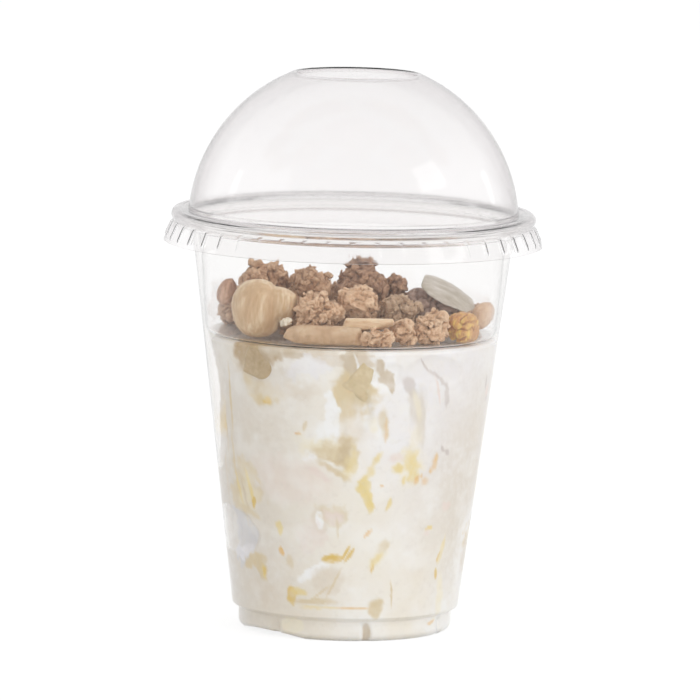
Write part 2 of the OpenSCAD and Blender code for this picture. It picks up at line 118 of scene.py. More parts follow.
class Recipe:
    """One material, written node by node."""

    def __init__(self, holder: Union[str, bpy.types.World]) -> None:
        """Starts an empty material of that name, or empties the world's nodes."""
        self.material = bpy.data.materials.new(holder) if isinstance(holder, str) else holder
        self.material.use_nodes = True
        self.tree = self.material.node_tree
        self.tree.nodes.clear()

    def node(
        self,
        kind: str,
        settings: Optional[dict[str, object]] = None,
        inputs: Optional[dict[Union[str, int], Value]] = None,
        output: Optional[Union[str, int]] = 0,
    ) -> Optional[Wire]:
        """Adds a node of any kind.

        Args:
            kind: the node's type, without the ShaderNode before it.
            settings: the node's own settings, with a ramp's stops under "stops".
            inputs: values or wires for its sockets, by name or number.
            output: the output that goes on, or None where nothing does.

        Returns:
            The wire that leaves the node, if one does.
        """
        made = self.tree.nodes.new("ShaderNode" + kind)
        for key, value in (settings or {}).items():
            if key == "stops":
                ramp = made.color_ramp
                for number, (place, colour) in enumerate(value):
                    stop = (
                        ramp.elements[number]
                        if number < len(ramp.elements)
                        else ramp.elements.new(place)
                    )
                    stop.position = place
                    stop.color = colour
            else:
                setattr(made, key, value)
        for key, value in (inputs or {}).items():
            if isinstance(value, Wire):
                self.tree.links.new(value.socket, made.inputs[key])
            else:
                made.inputs[key].default_value = value
        return None if output is None else Wire(self, made.outputs[output])

    def seen_by(self, *rays: str) -> Wire:
        """1 for these kinds of rays and 0 for all others."""
        found = [self.node("LightPath", output=f"Is {ray} Ray") for ray in rays]
        whole = found[0]
        for other in found[1:]:
            whole = whole.greater_of(other)
        return whole

    def tinted(self, first: Value, second: Value, share: Value) -> Wire:
        """Mixes two colours, the second by its share."""
        return self.node("Mix", {"data_type": "RGBA"}, {0: share, 6: first, 7: second}, 2)

    def attribute(self, name: str, output: str) -> Wire:
        """Reads one of the piece's own attributes."""
        return self.node("Attribute", {"attribute_name": name}, output=output)

    def place(self) -> Wire:
        """The point on the piece, in metres."""
        return self.node("TexCoord", output="Object")

    def stretched(self, vector: Value, scale: Sequence[float]) -> Wire:
        """A point with each of its numbers multiplied."""
        return self.node(
            "VectorMath", {"operation": "MULTIPLY"}, {0: vector, 1: tuple(scale)}
        )

    def mottle(self, vector: Value, size: float, detail: float = 3.0) -> Wire:
        """Soft noise between 0 and 1 whose patches have about that size in millimetres."""
        return self.node(
            "TexNoise",
            inputs={"Vector": vector, "Scale": 1 / (size * MM), "Detail": detail},
        )

    def relief(self, height: Value, depth: float, strength: float = 1.0) -> Wire:
        """A normal that stands for a relief of that depth in millimetres."""
        return self.node(
            "Bump", inputs={"Height": height, "Distance": depth * MM, "Strength": strength}
        )

    def surface(self, shader: Wire, end: str = "OutputMaterial") -> bpy.types.ID:
        """Ends the recipe with the shader that the surface shows."""
        self.node(end, inputs={"Surface": shader}, output=None)
        return self.material


@dataclass(frozen=True)
class ClearSheet:
    """Thin clear plastic, as formed from one sheet."""

    name: str
    tint: Colour
    # edge is the darker tint where the sheet is seen edge-on: partly the longer path through the
    # plastic, partly painted shade
    edge: Colour
    aslant: float = 0.6
    roughness: float = 0.04
    index: float = 1.36
    waves: float = 0.2

    def material(self) -> bpy.types.Material:
        """Writes the material: glass to the eye, and a light tint to the light that passes, darker
        where the sheet is seen edge-on.
        """
        recipe = Recipe(self.name)
        drawn = recipe.mottle(recipe.stretched(recipe.place(), (1, 1, 0.35)), 14, 1)
        # Painted shade toward the outline: the tint darkens toward edge as the sheet turns
        # edge-on, partly standing for the longer path through it
        aslant = recipe.node("LayerWeight", inputs={"Blend": 0.5}, output="Facing")
        shell = recipe.node(
            "BsdfPrincipled",
            inputs={
                "Base Color": recipe.tinted(self.tint, self.edge, aslant.ramped(self.aslant, 1.0)),
                "Roughness": self.roughness,
                "IOR": self.index,
                "Transmission Weight": 1.0,
                "Normal": recipe.relief(drawn, self.waves, 0.25),
            },
        )
        faint = tuple(math.sqrt(c) for c in self.tint[:3]) + (1.0,)
        through = recipe.node("BsdfTransparent", inputs={"Color": faint})
        unseen = recipe.seen_by("Shadow", "Diffuse")
        return recipe.surface(recipe.node("MixShader", inputs={0: unseen, 1: shell, 2: through}))

    def cut_edge(self) -> bpy.types.Material:
        """Writes the material of the sheet's trimmed edge, which is dull from the cutter."""
        recipe = Recipe(f"{self.name}_edge")
        grain = recipe.mottle(recipe.place(), 0.5, 2)
        return recipe.surface(
            recipe.node(
                "BsdfPrincipled",
                inputs={
                    "Base Color": recipe.tinted(paint(188, 180, 181), paint(226, 221, 221), grain),
                    "Roughness": 0.5,
                    "Normal": recipe.relief(grain, 0.02, 0.5),
                },
            )
        )

    def both(self) -> list[bpy.types.Material]:
        """The sheet's own material and that of its cut edge."""
        return [self.material(), self.cut_edge()]


@dataclass(frozen=True)
class CreamFinish:
    """Smooth cream whose colour follows the tone painted on its mesh."""

    name: str
    roughness: float = 0.38
    scatter: float = 0.25

    def material(self) -> bpy.types.Material:
        """Writes the material."""
        recipe = Recipe(self.name)
        place = recipe.place()
        tone = recipe.attribute("tone", "Color")
        fine = recipe.mottle(place, 1.6, 4)
        broad = recipe.mottle(place, 9, 2)
        shaded = recipe.tinted(tone, paint(214, 206, 194), 0.22 * fine.ramped(0.5, 0.8))
        lit = recipe.tinted(shaded, paint(255, 255, 253), 0.25 * broad.ramped(0.48, 0.7))
        return recipe.surface(
            recipe.node(
                "BsdfPrincipled",
                inputs={
                    "Base Color": lit,
                    "Roughness": self.roughness,
                    "Subsurface Weight": self.scatter,
                    "Subsurface Radius": (1.0, 0.9, 0.75),
                    "Subsurface Scale": 0.0012,
                    "Normal": recipe.relief(fine + 0.5 * broad, 0.12, 0.6),
                },
            )
        )


@dataclass(frozen=True)
class FoodFinish:
    """A dry or candied food: three tones, painted shade in its hollows, a painted highlight on its
    ridges, a grain and a relief.

    Its tones are red, green and blue of 0 to 255, and the sizes of its patches and of its relief
    are in millimetres.
    """

    name: str
    dark: Shade
    middle: Shade
    light: Shade
    # hollow is the tone of the painted shade in the piece's hollows
    hollow: Shade
    patch: float = 2.0
    grain: tuple[float, float, float] = (1.0, 1.0, 1.0)
    bump: float = 0.15
    roughness: float = 0.6
    coat: float = 0.0
    # How much painted shade goes into the hollows, and how much painted highlight onto the ridges
    hollow_shade_share: float = 0.7
    ridge_highlight_share: float = 0.0
    scatter: float = 0.0

    def material(self) -> bpy.types.Material:
        """Writes the material."""
        recipe = Recipe(self.name)
        own = recipe.stretched(recipe.attribute("own", "Vector"), self.grain)
        patches = recipe.mottle(own, self.patch, 3)
        fine = recipe.mottle(own, self.patch / 4, 2)
        tones = [paint(*self.dark), paint(*self.middle), paint(*self.light)]
        colour = recipe.node(
            "ValToRGB",
            {"stops": list(zip(TONE_STOPS, tones))},
            {0: 0.7 * patches + 0.3 * fine},
        )
        # Painted shade: the hollow tone is mixed in where the vertex lies deep in a hollow
        deep = recipe.attribute("hollow", "Fac")
        share = self.hollow_shade_share * deep.ramped(0.5, 0.9)
        colour = recipe.tinted(colour, paint(*self.hollow), share)
        # Painted highlight: the light tone is mixed in along the raised ridges
        if self.ridge_highlight_share:
            share = self.ridge_highlight_share * (1.0 - deep).ramped(0.52, 0.85)
            colour = recipe.tinted(colour, paint(*self.light), share)
        return recipe.surface(
            recipe.node(
                "BsdfPrincipled",
                inputs={
                    "Base Color": colour,
                    "Roughness": self.roughness,
                    "Coat Weight": self.coat,
                    "Coat Roughness": 0.25,
                    "Subsurface Weight": self.scatter,
                    "Subsurface Radius": (1.0, 0.7, 0.4),
                    "Subsurface Scale": 0.001,
                    "Normal": recipe.relief(fine + 0.5 * patches, self.bump, 0.8),
                },
            )
        )


# Work on meshes


def lay_aside() -> None:
    """Leaves edit mode and selects nothing."""
    if bpy.context.mode != "OBJECT":
        bpy.ops.object.mode_set(mode="OBJECT")
    bpy.ops.object.select_all(action="DESELECT")


def take_up(*pieces: bpy.types.Object) -> None:
    """Selects only these pieces, and makes the first of them active."""
    lay_aside()
    for piece in pieces:
        piece.select_set(True)
    bpy.context.view_layer.objects.active = pieces[0]


def open_mesh(piece: bpy.types.Object) -> None:
    """Takes up one piece and goes into edit mode with all of it selected."""
    take_up(piece)
    bpy.ops.object.mode_set(mode="EDIT")
    bpy.ops.mesh.select_mode(type="VERT")
    bpy.ops.mesh.select_all(action="SELECT")


def corners(piece: bpy.types.Object) -> np.ndarray:
    """The places of a mesh's vertices, in metres."""
    flat = np.empty(len(piece.data.vertices) * 3, np.float32)
    piece.data.vertices.foreach_get("co", flat)
    return flat.reshape(-1, 3).astype(float)


def normals(piece: bpy.types.Object) -> np.ndarray:
    """The normals at a mesh's vertices."""
    flat = np.empty(len(piece.data.vertices) * 3, np.float32)
    piece.data.vertices.foreach_get("normal", flat)
    return flat.reshape(-1, 3).astype(float)


def put_corners(piece: bpy.types.Object, places: np.ndarray) -> None:
    """Moves a mesh's vertices to these places."""
    piece.data.vertices.foreach_set("co", places.astype(np.float32).ravel())
    piece.data.update()


def apply_modifier(piece: bpy.types.Object, kind: str, **settings: object) -> None:
    """Adds a modifier to a piece and applies it.

    Args:
        piece: the piece.
        kind: the modifier's type.
        settings: the modifier's own settings.
    """
    take_up(piece)
    added = piece.modifiers.new(kind.lower(), kind)
    for key, value in settings.items():
        setattr(added, key, value)
    bpy.ops.object.modifier_apply(modifier=added.name)


def remesh(piece: bpy.types.Object, cell: float) -> None:
    """Makes one even closed skin over all that a piece holds, with cells of that size in mm."""
    take_up(piece)
    piece.data.remesh_voxel_size = cell * MM
    piece.data.use_remesh_fix_poles = False
    bpy.ops.object.voxel_remesh()


def node_copy(node: str, name: str) -> bpy.types.Object:
    """A copy of a CAD node's mesh with its loose triangles merged, as a new object."""
    piece = bpy.data.objects.new(name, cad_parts[node].data.copy())
    bpy.context.scene.collection.objects.link(piece)
    piece.data.materials.clear()
    open_mesh(piece)
    bpy.ops.mesh.remove_doubles(threshold=0.002 * MM)
    bpy.ops.mesh.normals_make_consistent(inside=False)
    lay_aside()
    return piece


def drifts(places: np.ndarray, scale: float, start: Sequence[float] = (0, 0, 0)) -> np.ndarray:
    """A noise vector for each place.

    Args:
        places: points in millimetres.
        scale: how many of the noise's waves go into a millimetre.
        start: where in the noise it begins.

    Returns:
        One vector for each place, as rows.
    """
    origin = Vector(start)
    return np.array([noise.noise_vector(Vector(place) * scale + origin) for place in places])


def ramp(values: np.ndarray, low: float, high: float) -> np.ndarray:
    """0 below low, 1 above high, and an even rise between them."""
    return np.clip((values - low) / (high - low), 0, 1)


def ridge(at: Vector, width: float) -> float:
    """1 on the lines where the noise changes sign, and 0 where it is more than width off it."""
    return max(0.0, 1 - abs(noise.noise(at)) / width)


def note_hollows(
    piece: bpy.types.Object, reach: float, rounds: int = 3, broad_rounds: int = 6
) -> None:
    """Stores how deep each vertex lies in a hollow, 0.5 where the face is flat.

    Args:
        piece: the finished piece.
        reach: the rise in millimetres that counts as full.
        rounds: how many times the measure is evened out over its neighbours.
        broad_rounds: how many times the form is evened out to see what stands off it.
    """
    edges = np.empty(len(piece.data.edges) * 2, np.int32)
    piece.data.edges.foreach_get("vertices", edges)
    a, b = edges.reshape(-1, 2).T
    count = np.bincount(np.concatenate([a, b]), minlength=len(piece.data.vertices))
    count = np.maximum(count, 1)

    def average(values: np.ndarray) -> np.ndarray:
        """Each vertex's neighbours, averaged."""
        total = np.zeros_like(values)
        np.add.at(total, a, values[b])
        np.add.at(total, b, values[a])
        return total / (count[:, None] if values.ndim == 2 else count)

    places = corners(piece)
    broad = places
    for _ in range(broad_rounds):
        broad = average(broad)
    rise = ((broad - places) * normals(piece)).sum(axis=1)
    for _ in range(rounds):
        rise = 0.5 * rise + 0.5 * average(rise)
    share = np.clip(0.5 + rise / (2 * reach * MM), 0, 1)
    # The food finishes paint shade where this share is high and a highlight where it is low
    made = piece.data.attributes.new("hollow", "FLOAT", "POINT")
    made.data.foreach_set("value", share.astype(np.float32))


def note_own(piece: bpy.types.Object, along: Vector, seed: int = 0) -> None:
    """Stores each vertex's place from the piece's middle, with x along its grain.

    Args:
        piece: the finished piece.
        along: the way that its grain runs.
        seed: another number gives other patches.
    """
    turn = along.normalized().rotation_difference(Vector((1, 0, 0))).to_matrix()
    places = corners(piece)
    own = (places - places.mean(axis=0)) @ np.array(turn).T + 0.1 + 0.037 * seed
    made = piece.data.attributes.new("own", "FLOAT_VECTOR", "POINT")
    made.data.foreach_set("vector", own.astype(np.float32).ravel())


def thicken(piece: bpy.types.Object, wall: float, finish: ClearSheet) -> None:
    """Gives an open surface the thickness of its sheet, in mm, and its two materials.

    Args:
        piece: the surface in the middle of the sheet.
        wall: the sheet's thickness in millimetres.
        finish: the plastic that the sheet is made of.
    """
    piece.data.materials.clear()
    for material in finish.both():
        piece.data.materials.append(material)
    apply_modifier(
        piece,
        "SOLIDIFY",
        thickness=wall * MM,
        offset=0.0,
        use_even_offset=True,
        material_offset_rim=1,
    )


def dress(
    piece: bpy.types.Object,
    body: str,
    stands_for: Sequence[str] = (),
    material: Optional[bpy.types.Material] = None,
    sharp: float = 180,
) -> bpy.types.Object:
    """Gives a finished piece its material, its body and what it stands for.

    Args:
        piece: the finished piece.
        body: the CAD body that it rides on.
        stands_for: the CAD nodes that it replaces.
        material: its material, where it hasn't got one yet.
        sharp: edges that turn by more than so many degrees stay crisp.

    Returns:
        The piece.
    """
    take_up(piece)
    if sharp < 180:
        bpy.ops.object.shade_smooth_by_angle(angle=math.radians(sharp))
    else:
        bpy.ops.object.shade_smooth()
    if material is not None:
        piece.data.materials.clear()
        piece.data.materials.append(material)
    if stands_for:
        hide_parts(*stands_for)
    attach(piece, body)
    lay_aside()
    log.info("%s: %d faces", piece.name, len(piece.data.polygons))
    return piece


# Formed sheets


class SheetPath:
    """Where the middle of a formed sheet runs from the axis outward, as radius and height."""

    def __init__(self, points: Sequence[Point]) -> None:
        """Keeps the points."""
        self.points = [Vector(p) for p in points]

    @classmethod
    def rounded(cls, turns: Sequence[tuple[float, float, float]], step: float = 12) -> "SheetPath":
        """A path through corners with round bends.

        Args:
            turns: radius, height and bend radius of each corner.
            step: the most degrees from one point of a bend to the next.

        Returns:
            The path.
        """
        points: list[Vector] = []
        for number, (r, z, bend) in enumerate(turns):
            here = Vector((r, z))
            if bend == 0:
                points.append(here)
                continue
            back = (Vector(turns[number - 1][:2]) - here).normalized()
            onward = (Vector(turns[number + 1][:2]) - here).normalized()
            half = back.angle(onward) / 2
            centre = here + (back + onward).normalized() * bend / math.sin(half)
            start = here + back * bend / math.tan(half) - centre
            swing = math.copysign(math.pi - 2 * half, -(back.x * onward.y - back.y * onward.x))
            steps = max(2, math.ceil(abs(swing) / math.radians(step)))
            first = math.atan2(start.y, start.x)
            for k in range(steps + 1):
                angle = first + swing * k / steps
                points.append(centre + bend * Vector((math.cos(angle), math.sin(angle))))
        return cls(points)

    @classmethod
    def arc(
        cls, centre: Point, radius: float, start: float, end: float, step: float
    ) -> "SheetPath":
        """An arc between two angles in degrees, in steps of at most that many degrees."""
        steps = math.ceil(abs(end - start) / step)
        middle = Vector(centre)
        turned = [math.radians(start + (end - start) * k / steps) for k in range(steps + 1)]
        return cls([middle + radius * Vector((math.cos(a), math.sin(a))) for a in turned])

    def then(self, other: "SheetPath") -> "SheetPath":
        """This path with another put on its end, without points that coincide."""
        joined = list(self.points)
        for point in other.points:
            if (point - joined[-1]).length > 0.01:
                joined.append(point)
        return SheetPath(joined)

    def evened(self, longest: float, inside: float = 0, coarse: float = 0) -> "SheetPath":
        """The same path with its long stretches divided.

        Args:
            longest: the most millimetres from one point to the next.
            inside: the radius within which the stretches may be longer.
            coarse: the most millimetres there.

        Returns:
            The divided path.
        """
        points = [self.points[0]]
        for start, end in zip(self.points, self.points[1:]):
            most = coarse if max(start.x, end.x) < inside else longest
            parts = max(1, math.ceil((end - start).length / most))
            points += [start.lerp(end, (k + 1) / parts) for k in range(parts)]
        return SheetPath(points)

    def beside(self, distance: float) -> "SheetPath":
        """The same path moved to its left."""
        moved = []
        last = len(self.points) - 1
        for number, point in enumerate(self.points):
            a = self.points[max(number, 1)] - self.points[max(number, 1) - 1]
            b = self.points[min(number, last - 1) + 1] - self.points[min(number, last - 1)]
            a.normalize()
            b.normalize()
            left = Vector((-a.y - b.y, a.x + b.x))
            moved.append(point + left * distance / (1 + a.dot(b)))
        return SheetPath(moved)

    def turned(self, name: str, columns: int) -> bpy.types.Object:
        """Turns the path round the z axis.

        Args:
            name: the new object's name.
            columns: how many times the path is repeated round the axis.

        Returns:
            The open surface as a new object.
        """
        lay_aside()
        bpy.ops.mesh.primitive_plane_add(size=MM)
        piece = bpy.context.object
        piece.name = name
        bpy.ops.object.mode_set(mode="EDIT")
        bpy.ops.mesh.select_mode(type="VERT")
        bpy.ops.mesh.select_all(action="SELECT")
        bpy.ops.mesh.merge(type="CENTER")
        first = self.points[0]
        bpy.ops.transform.translate(value=(first.x * MM, 0, first.y * MM))
        for start, end in zip(self.points, self.points[1:]):
            step = (end - start) * MM
            bpy.ops.mesh.extrude_region_move(
                TRANSFORM_OT_translate={"value": (step.x, 0, step.y)}
            )
        bpy.ops.mesh.select_all(action="SELECT")
        bpy.ops.mesh.spin(steps=columns, angle=FULL_TURN, center=(0, 0, 0), axis=(0, 0, 1))
        bpy.ops.mesh.select_all(action="SELECT")
        bpy.ops.mesh.remove_doubles(threshold=0.0005 * MM)
        bpy.ops.mesh.normals_make_consistent(inside=False)
        lay_aside()
        return piece


def shift_columns(piece: bpy.types.Object, columns: int, angles: Sequence[float]) -> None:
    """Moves the columns of a turned surface to new angles round the axis.

    Args:
        piece: a surface turned with evenly spaced columns, the first at angle 0.
        columns: how many columns it has.
        angles: the new angle of each column, in radians.
    """
    places = corners(piece)
    radius = np.hypot(places[:, 0], places[:, 1])
    angle = np.arctan2(places[:, 1], places[:, 0]) % FULL_TURN
    number = np.rint(angle / (FULL_TURN / columns)).astype(int) % columns
    moved = np.array(angles)[number]
    places[:, 0] = radius * np.cos(moved)
    places[:, 1] = radius * np.sin(moved)
    put_corners(piece, places)


@dataclass
class Foot:
    """The cup's foot: its lobes with upright grooves between them, and its low arches, in mm."""

    radius: float = 28.7
    lobes: int = 7
    first: float = math.radians(11.6 - 90)
    groove_r: float = 1.6
    groove_depth: float = 1.2
    groove_h: float = 4.2
    groove_fade: float = 1.6
    groove_under: float = 3.0
    arches: int = 2
    first_arch: float = math.radians(-50 - 90)
    arch_h: float = 1.4
    arch_w: float = 25.0
    arch_in: float = 9.2
    arch_ramp: float = 2.0
    arch_fade: float = 3.5
    close: int = 13
    close_step: float = 0.4

    def angles(self, per_lobe: Sequence[int]) -> list[float]:
        """The angle of each column round the foot, closer together at the grooves.

        Args:
            per_lobe: how many columns each lobe has.

        Returns:
            The angles in radians.
        """
        pitch = FULL_TURN / self.lobes
        reach = self.close_step * (self.close - 1) / 2
        angles = []
        for lobe, count in enumerate(per_lobe):
            wide = (pitch * self.radius - 2 * reach) / (count - self.close + 1)
            offsets = [-reach + self.close_step * k for k in range(self.close)]
            offsets += [reach + wide * k for k in range(1, count - self.close + 1)]
            angles += [self.first + lobe * pitch + offset / self.radius for offset in offsets]
        return angles

    def press(self, piece: bpy.types.Object, inset: float) -> None:
        """Presses the grooves and arches into a surface that follows the foot.

        Args:
            piece: the surface.
            inset: how far it lies inside the cup's outer face, in millimetres.
        """
        places = corners(piece) / MM
        radius = np.hypot(places[:, 0], places[:, 1])
        angle = np.arctan2(places[:, 1], places[:, 0])
        pitch = FULL_TURN / self.lobes
        turn = (angle - self.first + pitch / 2) % pitch - pitch / 2
        aside = turn * self.radius
        z = places[:, 2]
        reach = self.groove_r + 0.6 * inset
        share = np.clip(1 - (aside / reach) ** 2, 0, 1) ** 1.5
        low = 1 - np.clip((z - self.groove_h + 1 - inset) / self.groove_fade, 0, 1) ** 2
        outer = np.clip(1 + (radius - self.radius) / self.groove_under, 0, 1)
        depth = self.groove_depth * (1.1 - 0.5 * inset) * share * low * outer
        factor = (radius - depth) / np.maximum(radius, 1e-6)
        places[:, 0] *= factor
        places[:, 1] *= factor
        pitch = FULL_TURN / self.arches
        turn = (angle - self.first_arch + pitch / 2) % pitch - pitch / 2
        across = radius * np.sin(turn)
        rise = self.arch_h * np.clip(1 - (2 * across / self.arch_w) ** 2, 0, 1)
        rise *= np.clip((radius - self.radius + self.arch_in) / self.arch_ramp, 0, 1)
        places[:, 2] += rise * np.clip(1 - z / self.arch_fade, 0, 1) ** 2
        put_corners(piece, places * MM)


@dataclass
class Cup:
    """The clear cup: its sheet from the raised panel below to the rolled rim, in millimetres."""

    finish: ClearSheet
    height: float = 111.4
    mouth_r: float = 43.6
    base_r: float = 30.5
    wall: float = 0.45
    curl_r: float = 1.6
    curl_end: float = 130
    foot_h: float = 5.5
    ledge_h: float = 1.0
    foot_round: float = 1.8
    panel_h: float = 4.5
    panel_r: float = 19.5
    panel_slope: float = 2.0
    panel_bend: float = 1.6
    base_bend: float = 1.0
    ledge_bend: float = 0.5
    groove_rows: tuple[float, ...] = (-1.4, -0.8, -0.2, 0.4)
    per_lobe: tuple[int, ...] = (32,) * 7
    foot: Foot = field(default_factory=Foot)

    @property
    def ledge_top(self) -> float:
        """Height at which the wall starts."""
        return self.foot_h + self.ledge_h

    def middle_r(self, z: float) -> float:
        """Radius of the middle of the wall at a height."""
        rise = self.height - self.curl_r - self.ledge_top
        return self.base_r - self.wall / 2 + (z - self.ledge_top) * (
            self.mouth_r - self.base_r
        ) / rise

    @property
    def lean(self) -> float:
        """How far the wall leans out, in radians."""
        rise = self.height - self.curl_r - self.ledge_top
        return math.atan((self.mouth_r - self.base_r) / rise)

    def inside_r(self, z: float) -> float:
        """Radius of the wall's inner face at a height."""
        return self.middle_r(z) - self.wall / 2 / math.cos(self.lean)

    def wall_path(self, top: float) -> SheetPath:
        """The sheet from the middle of the base up the wall to a height."""
        half = self.wall / 2
        side = self.foot.radius - half
        return SheetPath.rounded(
            [
                (0, self.panel_h + half, 0),
                (self.panel_r, self.panel_h + half, self.panel_bend),
                (self.panel_r + self.panel_slope, half, self.base_bend),
                (side, half, self.foot_round),
                *[(side, self.foot.groove_h + rise, 0) for rise in self.groove_rows],
                (side, self.foot_h, self.ledge_bend),
                (self.base_r - half, self.ledge_top, self.ledge_bend),
                (self.middle_r(top), top, 0),
            ]
        )

    def build(self) -> bpy.types.Object:
        """Models the cup.

        Returns:
            The finished cup.
        """
        lean = math.degrees(self.lean)
        curl_z = self.height - self.wall / 2 - self.curl_r
        top = curl_z + self.curl_r * math.sin(self.lean)
        middle = self.middle_r(top) + self.curl_r * math.cos(self.lean)
        curl = SheetPath.arc((middle, curl_z), self.curl_r, 180 - lean, -self.curl_end, 12)
        path = self.wall_path(top).evened(6).then(curl)
        columns = sum(self.per_lobe)
        piece = path.turned("cup_wall", columns)
        shift_columns(piece, columns, self.foot.angles(self.per_lobe))
        self.foot.press(piece, self.wall / 2)
        thicken(piece, self.wall, self.finish)
        return dress(piece, "cup", ["cup"], sharp=50)


@dataclass
class Tray:
    """The clear tray in the cup's mouth, in millimetres."""

    finish: ClearSheet
    under: float = 79.8
    wall: float = 0.4
    low_r: float = 38.93
    neck_r: float = 41.22
    seat_r: float = 42.62
    lip_r: float = 47.31
    corner: float = 1.6
    step_z: float = 109.6
    top: float = 111.9
    lip_h: float = 1.4
    neck_bend: float = 0.4
    lip_bend: float = 0.7
    columns: int = 192

    @property
    def floor(self) -> float:
        """Height of the floor's upper face."""
        return self.under + self.wall

    def inside_r(self, z: np.ndarray) -> np.ndarray:
        """Radius of the tray's inner face at a height."""
        slope = (self.neck_r - self.low_r) / (self.step_z - self.under)
        return self.low_r - self.wall / 2 + slope * (z - self.under)

    def keep_inside(self, places: np.ndarray, spare: float = 0.06) -> np.ndarray:
        """Presses places, in metres, back inside the tray's floor, corner and wall."""
        kept = places / MM
        kept[:, 2] = np.maximum(kept[:, 2], self.floor + spare)
        limit = self.inside_r(kept[:, 2]) - spare
        low = np.clip(self.corner - (kept[:, 2] - self.floor), 0, self.corner)
        limit -= self.corner - np.sqrt(np.maximum(self.corner**2 - low**2, 0))
        radius = np.hypot(kept[:, 0], kept[:, 1])
        factor = np.minimum(1, limit / np.maximum(radius, 1e-6))
        kept[:, 0] *= factor
        kept[:, 1] *= factor
        return kept * MM

    def build(self) -> bpy.types.Object:
        """Models the tray."""
        half = self.wall / 2
        path = SheetPath.rounded(
            [
                (0, self.under + half, 0),
                (self.low_r, self.under + half, self.corner),
                (self.neck_r, self.step_z, self.neck_bend),
                (self.seat_r, self.step_z + self.neck_bend, self.neck_bend),
                (self.seat_r, self.top - half, self.lip_bend),
                (self.lip_r, self.top - half, self.lip_bend),
                (self.lip_r, self.top - half - self.lip_h, 0),
            ]
        )
        piece = path.evened(5).turned("tray_sheet", self.columns)
        thicken(piece, self.wall, self.finish)
        return dress(piece, "tray", ["topping_tray"], sharp=50)


@dataclass
class Ribs:
    """The hollow ribs down the lid's skirt, in millimetres."""

    count: int = 48
    half_width: float = 0.8
    height: float = 0.3
    length: float = 4.5
    run_out: float = 0.7
    offsets: tuple[float, ...] = (-1.15, -0.78, -0.45, 0.0, 0.45, 0.78, 1.15)

    @property
    def columns(self) -> int:
        """How many columns the lid has."""
        return self.count * (len(self.offsets) + 1)

    def angles(self, radius: float) -> list[float]:
        """The angle of each column, several across every rib and one midway between ribs."""
        pitch = FULL_TURN / self.count
        return [
            rib * pitch + turn
            for rib in range(self.count)
            for turn in [o / radius for o in self.offsets] + [pitch / 2]
        ]


